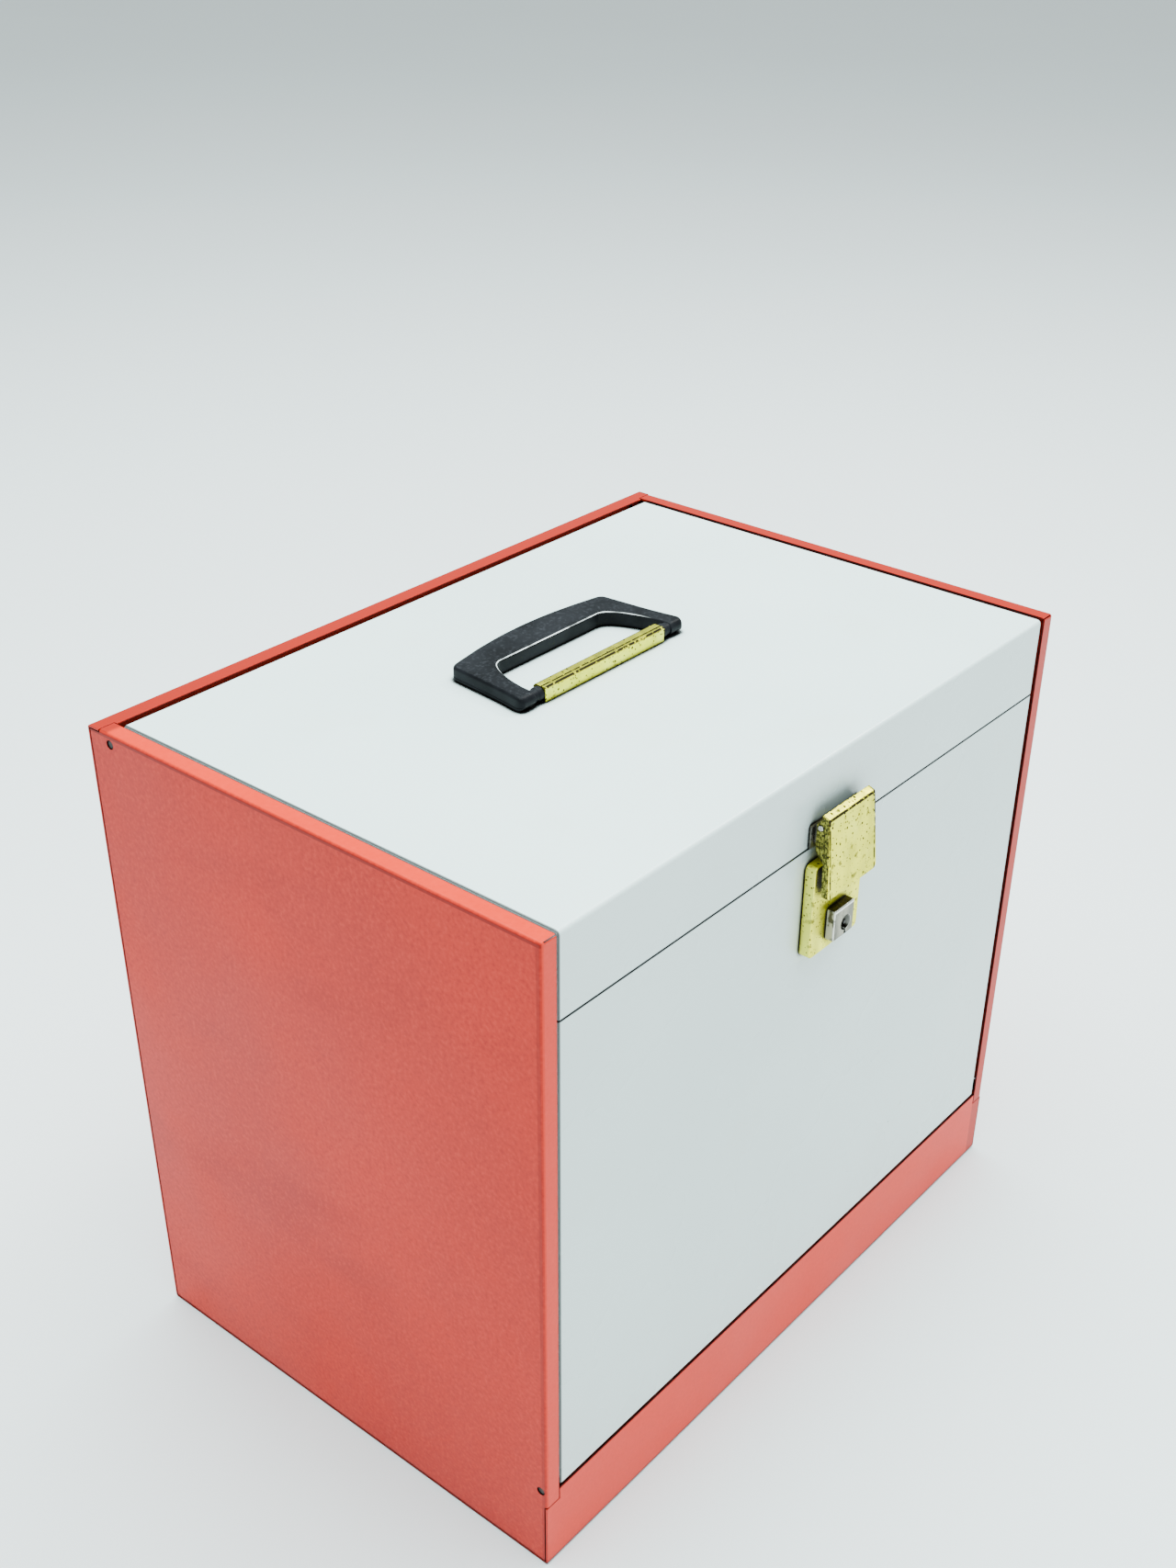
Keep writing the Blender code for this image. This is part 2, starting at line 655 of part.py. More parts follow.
def grip_stations():
    """Pairs of (inner, outer) plan points along the left half of the grip, from its end to its middle.

    Distances are from the handle's centre line and its axis, in millimetres.
    """
    stations = [
        ((46.8, -3.5), (54.2, -3.5)),
        ((46.8, -2.7), (55.4, -2.7)),
        ((46.8, -1.2), (56.0, -1.2)),
        ((46.6, 1.5), (55.9, 1.2)),
        ((46.2, 5.5), (55.2, 5.5)),
        ((44.6, 13.0), (54.2, 12.5)),
        ((42.0, 20.5), (53.4, 20.5)),
        ((39.6, 25.0), (52.7, 28.0)),
        ((37.8, 27.4), (52.0, 35.5)),
        ((36.0, 28.9), (51.5, 40.4)),
    ]
    corner_inner = arc((33.2, 26.4), 3.3, 60, 90, 2)
    corner_outer = arc((48.6, 39.9), 3.0, 12, 72, 2)
    stations += list(zip(corner_inner, corner_outer))
    for x in (40.0, 30.0, 20.0, 10.0, 0.0):
        inner_x = 31.0 * x / 40.0
        outer_y = 48.7 - 5.4 * (x / 47.0) ** 2
        stations.append(((inner_x, 29.7), (x, outer_y)))
    return stations


def grip_section(inner, outer, height):
    """The section between two plan points: a slab with rounded edges, as (plan x, plan y, z) points."""
    inner, outer = Vector(inner), Vector(outer)
    width = (outer - inner).length
    half = height / 2
    round_outer = min(0.3 * width, 1.7, 0.8 * half)
    round_inner = min(0.2 * width, 1.1, 0.8 * half)
    points = []
    for angle in (0, 30, 60, 90):
        across = width - round_outer * (1 - cos(radians(angle)))
        points.append((across, half - round_outer * (1 - sin(radians(angle)))))
    for angle in (90, 45, 0):
        across = round_inner * (1 - cos(radians(angle)))
        points.append((across, half - round_inner * (1 - sin(radians(angle)))))
    points += [(across, -z) for across, z in reversed(points)]
    along = (outer - inner) / width
    return [(inner.x + along.x * across, inner.y + along.y * across, z) for across, z in points]


def make_handle_grip(plastic):
    """A flat C-shaped grip whose ends are round about the axis, with a lug beside each end of the bar."""
    axis_y, axis_z = HANDLE_AXIS
    half_thickness = GRIP_THICKNESS / 2 / MM
    stations = grip_stations()
    whole = [(inner, outer, -1) for inner, outer in stations]
    whole += [(inner, outer, 1) for inner, outer in reversed(stations[:-1])]
    shape = bmesh.new()
    rings = []
    for inner, outer, side in whole:
        ahead = min(0.0, inner[1])
        nose = sqrt(max(half_thickness**2 - ahead**2, 0.0))
        height = 2 * max(nose, 1.0)
        ring = []
        for x, y, z in grip_section(inner, outer, height):
            point = (HANDLE_X + side * x * MM, axis_y + y * MM, axis_z + z * MM)
            ring.append(shape.verts.new(point))
        rings.append(ring)
    count = len(rings[0])
    for ring, after in zip(rings, rings[1:]):
        for k in range(count):
            shape.faces.new((ring[k], ring[(k + 1) % count], after[(k + 1) % count], after[k]))
    shape.faces.new(rings[0])
    shape.faces.new(rings[-1])
    bmesh.ops.triangulate(shape, faces=shape.faces[:])
    bmesh.ops.recalc_face_normals(shape, faces=shape.faces[:])
    grip = add_object("handle_grip", shape, plastic, (HANDLE_X, *HANDLE_AXIS))

    lug_start = BAR_LENGTH / 2 + LUG_GAP
    rod_end = BAR_LENGTH / 2 + ROD_OVERHANG + LUG_GAP
    for side in (-1, 1):
        start, end = HANDLE_X + side * lug_start, HANDLE_X + side * LUG_END
        combine(grip, drill(0, start, end, HANDLE_AXIS, LUG_RADIUS, 20), "UNION")
        hole_start, hole_end = HANDLE_X + side * (lug_start - SPARE), HANDLE_X + side * rod_end
        combine(grip, drill(0, hole_start, hole_end, HANDLE_AXIS, ROD_RADIUS + GAP, 16))
    return grip


# The latch on the lid


def hasp_face(z):
    """Where the hasp's leaning face is at a height."""
    share = (HASP_TOP - z) / (HASP_TOP - HASP_BOTTOM)
    return HASP_TOP_FACE + share * (HASP_BOTTOM_FACE - HASP_TOP_FACE)


def make_hasp_hinge_plate(brass):
    """The plate on the lid's lip, with two ears that hold the hasp's pin."""
    left, right = HASP_X - HINGE_PLATE_WIDTH / 2, HASP_X + HINGE_PLATE_WIDTH / 2
    shape = block((left, PLATE_FACE, HINGE_PLATE_BOTTOM), (right, PLATE_BACK, HINGE_PLATE_TOP))
    plate = add_object("hasp_hinge_plate", shape, brass)
    in_plate = PLATE_BACK - BASE_PLATE / 2
    outline = [(in_plate, HINGE_PLATE_BOTTOM + SPARE)]
    outline += arc(HASP_AXIS, HINGE_EAR_RADIUS, 230, 40, 8)
    outline += [(in_plate, HINGE_PLATE_TOP - GAP)]
    ear_outer = HASP_TOP_WIDTH / 2 - HASP_SHEET - GAP
    for side in (-1, 1):
        start, end = HASP_X + side * (ear_outer - HINGE_EAR), HASP_X + side * ear_outer
        combine(plate, prism(outline, 0, start, end), "UNION")
    cut_plate_rivet_holes(plate, PLATE_FACE, PLATE_BACK, HINGE_RIVETS)
    combine(plate, drill(0, left, right, HASP_AXIS, HASP_PIN_HOLE))
    return plate


def make_plate_rivet(name, centre, steel):
    """A rivet along Y: its head is on a base plate and its tail is behind the sheet."""
    head_back = PLATE_FACE - GAP
    tail_front = PANEL_FRONT + SHEET + GAP
    profile = [
        (head_back - 0.6 * MM, 0.7 * PLATE_RIVET_HEAD),
        (head_back - 0.3 * MM, PLATE_RIVET_HEAD),
        (head_back, PLATE_RIVET_HEAD),
        (head_back, PLATE_RIVET_SHANK),
        (tail_front, PLATE_RIVET_SHANK),
        (tail_front, PLATE_RIVET_HEAD),
        (tail_front + 0.5 * MM, PLATE_RIVET_HEAD),
        (tail_front + 0.9 * MM, 0.6 * PLATE_RIVET_HEAD),
    ]
    return add_object(name, turned(profile, 1, centre, 12), steel)


def make_hasp_pin(steel):
    return make_pin("hasp_pin", HASP_X, HASP_TOP_WIDTH / 2 + 0.5 * MM, HASP_PIN_RADIUS, HASP_AXIS, steel)


def spread_sides(shape, half_top, half_bottom):
    """Moves the two ends of a prism along X so that it is wider towards the hasp's bottom edge."""
    for vert in shape.verts:
        share = max(0.0, (HASP_EAR_BOTTOM - vert.co.z) / (HASP_EAR_BOTTOM - HASP_BOTTOM))
        half = half_top + share * (half_bottom - half_top)
        vert.co.x = HASP_X + (half if vert.co.x > 0 else -half)


def make_hasp_plate(brass):
    """A leaning cover with a strip folded back at its top, an ear at each side of the pin and side lips."""
    pin_y, pin_z = HASP_AXIS
    lip_top = HASP_EAR_BOTTOM - 4.0 * MM
    strip_rear = HASP_TOP_FACE + HASP_STRIP_DEPTH
    strip_top = HASP_TOP + HASP_STRIP_RISE
    side_outline = [
        (HASP_BOTTOM_FACE, HASP_BOTTOM),
        (HASP_BOTTOM_FACE + HASP_LIP, HASP_BOTTOM),
        (hasp_face(lip_top) + HASP_LIP, lip_top),
        (HASP_EAR_REAR - 0.8 * MM, HASP_EAR_BOTTOM),
        (HASP_EAR_REAR, HASP_EAR_BOTTOM + 1.5 * MM),
        (HASP_EAR_REAR, pin_z + 1.5 * MM),
        (pin_y, HASP_TOP - 1.1 * MM),
        (HASP_TOP_FACE + 0.5 * HASP_STRIP_DEPTH, HASP_TOP - 0.6 * HASP_SHEET),
        (strip_rear, strip_top - HASP_SHEET),
        (strip_rear, strip_top),
        (HASP_TOP_FACE, HASP_TOP),
    ]
    half_top, half_bottom = HASP_TOP_WIDTH / 2, HASP_BOTTOM_WIDTH / 2
    outer = prism(side_outline, 0, -half_top, half_top)
    spread_sides(outer, half_top, half_bottom)
    rounded(outer, HASP_CORNER, 3, lambda middle, along: middle.z < HASP_BOTTOM + NEAR and abs(along.x) < 0.5)
    rounded(outer, HASP_FOLD, 2, lambda middle, along: abs(middle.y - hasp_face(middle.z)) < NEAR)
    hasp = add_object("hasp_plate", outer, brass, (HASP_X, *HASP_AXIS))

    # The space behind the face, between the side walls and under the strip
    below = HASP_BOTTOM - 5 * SPARE
    behind = pin_y + 8 * SPARE
    ceiling = HASP_TOP - HASP_SHEET
    ceiling_front = hasp_face(ceiling) + HASP_SHEET
    ceiling_rise = (behind - ceiling_front) * HASP_STRIP_RISE / HASP_STRIP_DEPTH
    outline = [
        (hasp_face(below) + HASP_SHEET, below),
        (behind, below),
        (behind, ceiling + ceiling_rise),
        (ceiling_front, ceiling),
    ]
    hollow = prism(outline, 0, -half_top, half_top)
    spread_sides(hollow, half_top - HASP_SHEET, half_bottom - HASP_SHEET)
    combine(hasp, hollow)
    combine(hasp, drill(0, HASP_X - half_bottom, HASP_X + half_bottom, HASP_AXIS, HASP_PIN_HOLE, 14))
    return hasp


def make_hasp_hook(steel):
    """The tongue behind the hasp that the lock's slide catches."""
    thickness = 0.8 * MM
    foot, tongue_top, tongue_bottom, end = 279.5 * MM, 274.6 * MM, 272.9 * MM, 271.0 * MM
    back_top = hasp_face(foot) + HASP_SHEET + GAP
    back_end = hasp_face(end) + HASP_SHEET + GAP
    tip = LOCK_FACE + thickness
    outline = [
        (back_top, foot),
        (back_end, end),
        (back_end + thickness, end),
        (back_end + thickness, tongue_bottom),
        (tip - 1.3 * MM, tongue_bottom),
        (tip - 1.0 * MM, tongue_bottom - 1.3 * MM),
        (tip, tongue_bottom + 0.3 * MM),
        (tip, tongue_top),
        (back_end + 1.8 * thickness, tongue_top),
        (back_top + thickness, foot),
    ]
    shape = prism(outline, 0, LATCH_X - HOOK_HALF_WIDTH, LATCH_X + HOOK_HALF_WIDTH)
    return add_object("hasp_hook", shape, steel, (LATCH_X, *HASP_AXIS))


# The lock on the flap


def make_lock_case(brass):
    """A shallow box over the lock, open at the back, with a slot for the hook and one for the button."""
    left, right = LATCH_X - LOCK_WIDTH / 2, LATCH_X + LOCK_WIDTH / 2
    outer = block((left, LOCK_FACE, LOCK_BOTTOM), (right, PLATE_BACK, LOCK_TOP))
    rounded(outer, LOCK_CORNER, 3, lambda middle, along: abs(along.y) > 0.9)
    rounded(outer, LOCK_FOLD, 2, lambda middle, along: middle.y < LOCK_FACE + NEAR)
    case = add_object("lock_case", outer, brass)
    hollow = block(
        (left + LOCK_WALL, LOCK_FACE + LOCK_WALL, LOCK_BOTTOM + LOCK_WALL),
        (right - LOCK_WALL, PLATE_BACK + SPARE, LOCK_TOP - LOCK_WALL),
    )
    rounded(hollow, LOCK_CORNER - LOCK_WALL, 2, lambda middle, along: abs(along.y) > 0.9)
    combine(case, hollow)
    slot_front, slot_back = LOCK_FACE - SPARE, LOCK_FACE + LOCK_WALL + GAP
    half = HOOK_HALF_WIDTH + SLOT_CLEARANCE
    hook_low, hook_high = HOOK_SLOT
    combine(case, block((LATCH_X - half, slot_front, hook_low), (LATCH_X + half, slot_back, hook_high)))
    half = BOSS_WIDTH / 2 + SLOT_CLEARANCE
    tall = BOSS_HEIGHT / 2 + SLOT_CLEARANCE
    low = (BUTTON_X - half, slot_front, BOSS_Z - tall)
    high = (BUTTON_X + half + BUTTON_TRAVEL, slot_back, BOSS_Z + tall)
    combine(case, block(low, high))
    return case


def make_lock_base_plate(steel):
    """The plate that closes the lock's back, with a raised stop for the cam."""
    inset = LOCK_WALL + GAP
    plate = block(
        (LATCH_X - LOCK_WIDTH / 2 + inset, PLATE_FACE, LOCK_BOTTOM + inset),
        (LATCH_X + LOCK_WIDTH / 2 - inset, PLATE_BACK, LOCK_TOP - inset),
    )
    rounded(plate, LOCK_CORNER - LOCK_WALL, 2, lambda middle, along: abs(along.y) > 0.9)
    plate = add_object("lock_base_plate", plate, steel)
    stop_left = KEY_X + CAM_LOBE_HALF + 0.4 * MM
    stop_low = (stop_left, CAM_FRONT + GAP, KEY_Z + CAM_RADIUS + 0.8 * MM)
    stop_high = (stop_left + 0.6 * MM, PLATE_FACE + BASE_PLATE / 2, KEY_Z + CAM_RADIUS + 4.2 * MM)
    combine(plate, block(stop_low, stop_high), "UNION")
    cut_plate_rivet_holes(plate, PLATE_FACE, PLATE_BACK, LOCK_RIVETS)
    return plate


def keyhole(front, back):
    """A cutter in the shape of a keyhole: a round hole with a slot below it."""
    half = KEY_SLOT_WIDTH / 2
    slot_angle = degrees_of(sqrt(KEY_RADIUS**2 - half**2), half)
    outline = arc((KEY_X, KEY_Z), KEY_RADIUS, -90 - slot_angle, -450 + slot_angle, 20)
    outline += [(KEY_X + half, KEY_Z - KEY_SLOT_DEPTH), (KEY_X - half, KEY_Z - KEY_SLOT_DEPTH)]
    return prism(outline, 1, front, back)


def degrees_of(x, z):
    return atan2(z, x) * 180 / pi


def make_lock_button(nickel):
    """The block that is slid sideways, with a boss that passes through the case."""
    left, right = BUTTON_X - BUTTON_WIDTH / 2, BUTTON_X + BUTTON_WIDTH / 2
    back = LOCK_FACE - GAP
    shape = block((left, BUTTON_FACE, BUTTON_BOTTOM), (right, back, BUTTON_TOP))
    rounded(shape, BUTTON_EDGE, 3, lambda middle, along: middle.y < back - NEAR)
    button = add_object("lock_button", shape, nickel)
    half_width, half_height = BOSS_WIDTH / 2, BOSS_HEIGHT / 2
    boss = block(
        (BUTTON_X - half_width, back - 0.6 * MM, BOSS_Z - half_height),
        (BUTTON_X + half_width, SLIDE_FRONT - GAP, BOSS_Z + half_height),
    )
    combine(button, boss, "UNION")
    combine(button, keyhole(BUTTON_FACE - SPARE, SLIDE_FRONT + SPARE))
    return button


def make_lock_slide(steel):
    """The plate behind the case's face that moves with the button. Its finger holds the hook."""
    left, right = BUTTON_X - SLIDE_HALF_WIDTH, BUTTON_X + SLIDE_HALF_WIDTH
    low, high = BOSS_Z - SLIDE_HALF_HEIGHT, BOSS_Z + SLIDE_HALF_HEIGHT
    outline = [
        (left, low),
        (right, low),
        (right, high),
        (LATCH_X + FINGER_HALF_WIDTH, high),
        (LATCH_X + FINGER_HALF_WIDTH, FINGER_TOP),
        (LATCH_X - FINGER_HALF_WIDTH, FINGER_TOP),
        (LATCH_X - FINGER_HALF_WIDTH, high),
        (left, high),
    ]
    slide = add_object("lock_slide", prism(outline, 1, SLIDE_FRONT, SLIDE_FRONT + SLIDE_PLATE), steel)
    combine(slide, keyhole(SLIDE_FRONT - SPARE, SLIDE_FRONT + SLIDE_PLATE + SPARE))
    return slide


def make_key_post(steel):
    """The post in the middle of the keyhole that the key's tube goes over."""
    front = BUTTON_FACE + 0.5 * MM
    profile = [
        (front, POST_RADIUS - PIN_CHAMFER),
        (front + PIN_CHAMFER, POST_RADIUS),
        (PLATE_FACE - GAP, POST_RADIUS),
    ]
    return add_object("key_post", turned(profile, 1, (KEY_X, KEY_Z), 12), steel)


def make_key_cam(steel):
    """The cam that the key turns. Its lobe points left, and upwards it meets the stop."""
    lobe_angle = degrees_of(-sqrt(CAM_RADIUS**2 - CAM_LOBE_HALF**2), CAM_LOBE_HALF)
    outline = arc((KEY_X, KEY_Z), CAM_RADIUS, -lobe_angle, lobe_angle, 16)
    outline += [(KEY_X - CAM_LOBE, KEY_Z + CAM_LOBE_HALF), (KEY_X - CAM_LOBE, KEY_Z - CAM_LOBE_HALF)]
    cam_back = CAM_FRONT + CAM_THICKNESS
    cam = add_object("key_cam", prism(outline, 1, CAM_FRONT, cam_back), steel, (KEY_X, CAM_FRONT, KEY_Z))
    combine(cam, drill(1, CAM_FRONT - SPARE, cam_back + SPARE, (KEY_X, KEY_Z), POST_RADIUS + GAP))
    return cam


def make_slide_spring(steel):
    """The coil that pushes the slide's finger to the left, away from the case's right wall."""
    start = LATCH_X + FINGER_HALF_WIDTH + GAP
    end = LATCH_X + LOCK_WIDTH / 2 - LOCK_WALL - GAP
    per_turn = 12
    centre_y = (SLIDE_FRONT + PLATE_FACE) / 2
    curve = bpy.data.curves.new("slide_spring", "CURVE")
    curve.dimensions = "3D"
    curve.bevel_depth = SPRING_WIRE
    curve.bevel_resolution = 1
    curve.use_fill_caps = True
    spline = curve.splines.new("POLY")
    steps = SPRING_TURNS * per_turn
    spline.points.add(steps)
    length = end - start - 2 * SPRING_WIRE
    for k, point in enumerate(spline.points):
        angle = 2 * pi * k / per_turn
        x = start + SPRING_WIRE + length * k / steps
        point.co = (x, centre_y + SPRING_RADIUS * cos(angle), SPRING_Z + SPRING_RADIUS * sin(angle), 1.0)
    spring = bpy.data.objects.new("slide_spring", curve)
    curve.materials.append(steel)
    bpy.context.collection.objects.link(spring)
    return spring


def main():
    clear_scene()
    finish = make_materials()
    coral, white = finish["coral_paint"], finish["white_paint"]
    brass, steel = finish["brass"], finish["steel"]

    make_base_wrap(coral)
    for side in (-1, 1):
        make_side_panel(side, coral)
        make_file_rail(side, coral)

    lid = hinge_empty("lid_axis", (0.0, *LID_AXIS))
    lid_parts = [
        make_lid_shell(white),
        make_pivot("lid_pivot_left", -1, LID_AXIS, steel),
        make_pivot("lid_pivot_right", 1, LID_AXIS, steel),
        make_handle_channel(brass),
        make_handle_rod(steel),
        make_handle_backing_plate(steel),
        make_handle_rivet("handle_rivet_left", HANDLE_RIVETS[0], steel),
        make_handle_rivet("handle_rivet_right", HANDLE_RIVETS[1], steel),
        make_hasp_hinge_plate(brass),
        make_plate_rivet("hinge_rivet_left", HINGE_RIVETS[0], steel),
        make_plate_rivet("hinge_rivet_right", HINGE_RIVETS[1], steel),
        make_hasp_pin(steel),
    ]
    attach(lid, lid_parts)
    handle = hinge_empty("handle_axis", (HANDLE_X, *HANDLE_AXIS), lid)
    attach(handle, [make_handle_grip(finish["black_plastic"])])
    hasp = hinge_empty("hasp_axis", (HASP_X, *HASP_AXIS), lid)
    attach(hasp, [make_hasp_plate(brass), make_hasp_hook(steel)])

    flap = hinge_empty("flap_axis", (0.0, *FLAP_AXIS))
    flap_parts = [
        make_front_flap(white),
        make_pivot("flap_pivot_left", -1, FLAP_AXIS, steel),
        make_pivot("flap_pivot_right", 1, FLAP_AXIS, steel),
        make_lock_case(brass),
        make_lock_base_plate(steel),
        make_plate_rivet("lock_rivet_lower", LOCK_RIVETS[0], steel),
        make_plate_rivet("lock_rivet_upper", LOCK_RIVETS[1], steel),
        make_slide_spring(steel),
    ]
    attach(flap, flap_parts)
    button = hinge_empty("button_axis", (BUTTON_X, LOCK_FACE, BOSS_Z), flap)
    attach(button, [make_lock_button(finish["nickel"]), make_lock_slide(steel), make_key_post(steel)])
    key = hinge_empty("key_axis", (KEY_X, CAM_FRONT, KEY_Z), button)
    attach(key, [make_key_cam(steel)])


main()
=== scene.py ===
"""Looks for the two-tone sheet-steel document box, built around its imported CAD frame.

Everything is in metres in the CAD frame: +Z is up, +X runs to the right along the front, and the front
is at -Y.
"""

import json
from math import cos, pi, radians, sin, sqrt

import bmesh
import bpy
from mathutils import Matrix, Vector


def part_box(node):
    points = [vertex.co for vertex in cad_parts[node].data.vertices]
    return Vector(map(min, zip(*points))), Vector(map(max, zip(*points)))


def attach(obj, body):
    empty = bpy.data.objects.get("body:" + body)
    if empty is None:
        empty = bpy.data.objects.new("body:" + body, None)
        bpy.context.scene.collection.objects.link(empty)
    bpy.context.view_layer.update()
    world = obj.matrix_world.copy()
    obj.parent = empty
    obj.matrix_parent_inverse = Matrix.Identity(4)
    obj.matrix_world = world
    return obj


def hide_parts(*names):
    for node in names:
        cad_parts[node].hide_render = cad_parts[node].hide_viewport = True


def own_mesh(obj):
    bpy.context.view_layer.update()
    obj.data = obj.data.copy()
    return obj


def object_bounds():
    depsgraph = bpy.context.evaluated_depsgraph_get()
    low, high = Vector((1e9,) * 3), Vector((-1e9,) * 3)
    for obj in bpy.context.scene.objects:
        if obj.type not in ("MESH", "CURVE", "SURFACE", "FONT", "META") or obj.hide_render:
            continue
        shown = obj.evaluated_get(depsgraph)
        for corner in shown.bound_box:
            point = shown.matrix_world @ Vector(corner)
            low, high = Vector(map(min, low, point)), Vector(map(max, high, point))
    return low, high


MM = 0.001

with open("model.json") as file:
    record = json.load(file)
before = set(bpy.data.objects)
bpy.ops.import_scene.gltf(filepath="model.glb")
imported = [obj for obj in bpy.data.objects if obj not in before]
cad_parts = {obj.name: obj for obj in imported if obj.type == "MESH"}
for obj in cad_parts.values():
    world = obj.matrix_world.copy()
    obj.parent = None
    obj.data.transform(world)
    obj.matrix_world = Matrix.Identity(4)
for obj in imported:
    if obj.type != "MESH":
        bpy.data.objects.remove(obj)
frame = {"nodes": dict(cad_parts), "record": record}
cad_low, cad_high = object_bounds()

# The camera stands in front of the left corner and looks down at the box
CAMERA_PLACE = (-0.5733, -0.4722, 0.6810)
CAMERA_AIM = (0.0811, 0.0684, 0.1523)
CAMERA_ROLL = 0.52
CAMERA_LENS = 42.0
CAMERA_SHIFT = (-0.0055, 0.0576)

# The room
FLOOR_SIZE = 16.0
FLOOR_GAP = 0.2 * MM
FLOOR_COLOUR = (0.80, 0.81, 0.82)
ROOM_COLOUR = (0.84, 1.0, 1.0)
ROOM_STRENGTH = 1.0
LIT_PLACE = (0.0, 0.0, 0.15)  # what the lamps point at
OVERHEAD_PLACE, OVERHEAD_SIZE, OVERHEAD_POWER = (0.1, 0.1, 2.1), (2.4, 2.4), 190.0
OVERHEAD_COLOUR = (0.84, 1.0, 1.0)
SIDE_PLACE, SIDE_SIZE, SIDE_POWER = (1.4, -0.3, 1.6), (0.2, 0.2), 14.0
SIDE_COLOUR = (1.0, 0.98, 0.94)

# Linear colours of the brass: clean, olive and pale
BRASS_COLOURS = ((0.81, 0.745, 0.03), (0.62, 0.575, 0.02), (0.88, 0.84, 0.12))
DULL_BRASS_COLOURS = ((0.32, 0.30, 0.24), (0.14, 0.13, 0.09), (0.50, 0.48, 0.42))

# The left half of the grip's plan: (inner, outer) points from the axis, in millimetres
GRIP_STATIONS = [
    ((-46.8, -3.5), (-54.2, -3.5)),
    ((-46.8, -2.7), (-55.4, -2.7)),
    ((-46.8, -1.2), (-56.0, -1.2)),
    ((-46.6, 1.5), (-55.9, 1.2)),
    ((-46.2, 5.5), (-55.2, 5.5)),
    ((-44.6, 13.0), (-54.2, 12.5)),
    ((-42.0, 20.5), (-53.4, 20.5)),
    ((-39.6, 25.0), (-52.7, 28.0)),
    ((-37.8, 27.4), (-52.0, 35.5)),
    ((-36.0, 28.9), (-51.5, 40.4)),
    ((-34.9, 29.3), (-50.7, 41.9)),
    ((-34.1, 29.6), (-49.5, 42.8)),
    ((-33.2, 29.7), (-47.7, 43.3)),
    ((-31.0, 29.7), (-40.0, 44.8)),
    ((-23.3, 29.7), (-30.0, 46.5)),
    ((-15.5, 29.7), (-20.0, 47.7)),
    ((-7.8, 29.7), (-10.0, 48.45)),
    ((0.0, 29.7), (0.0, 48.7)),
]
GRIP_PARTS = 3  # smooth steps between two stations

# The grip's section, in millimetres: each radius is also kept to a share of the width or, at the foot, of
# the half height
GRIP_OUTER_RADIUS, GRIP_OUTER_SHARE = 1.9, 0.3
GRIP_INNER_RADIUS, GRIP_INNER_SHARE = 1.2, 0.2
GRIP_FOOT_RADIUS, GRIP_FOOT_SHARE = 0.7, 0.3
GRIP_NOSE_HEIGHT = 1.0  # where the grip's ends are thinnest
GRIP_PARTING = 0.24  # the parting line's height, as a share of the thickness
GRIP_GROOVE = 0.22

# The collars beside the bar: (distance from the bar, radius), in millimetres
COLLAR_PROFILE = [(0.0, 1.5), (0.0, 3.0), (0.3, 3.3), (2.6, 3.3), (2.9, 3.1), (3.2, 2.9), (7.0, 2.9)]
COLLAR_GAP = 0.15 * MM
COLLAR_STEPS = 32

# Soft edges
SHEET_EDGE = 0.2 * MM
BUTTON_EDGE = 0.3 * MM
PIN_EDGE = 0.2 * MM
STEEL_EDGE = 0.15 * MM
SPRING_EDGE = 0.05 * MM

# Meshes that are refined
WELD = 0.01 * MM
FLAT_ANGLE = 1.0  # faces that meet at less than this, in degrees, are one face
CREASE_ANGLE = 30.0  # edges sharper than this get a soft edge
SHADE_ANGLE = 40.0


# Materials. Patterns are placed by object coordinates, which are the frame's coordinates at rest.


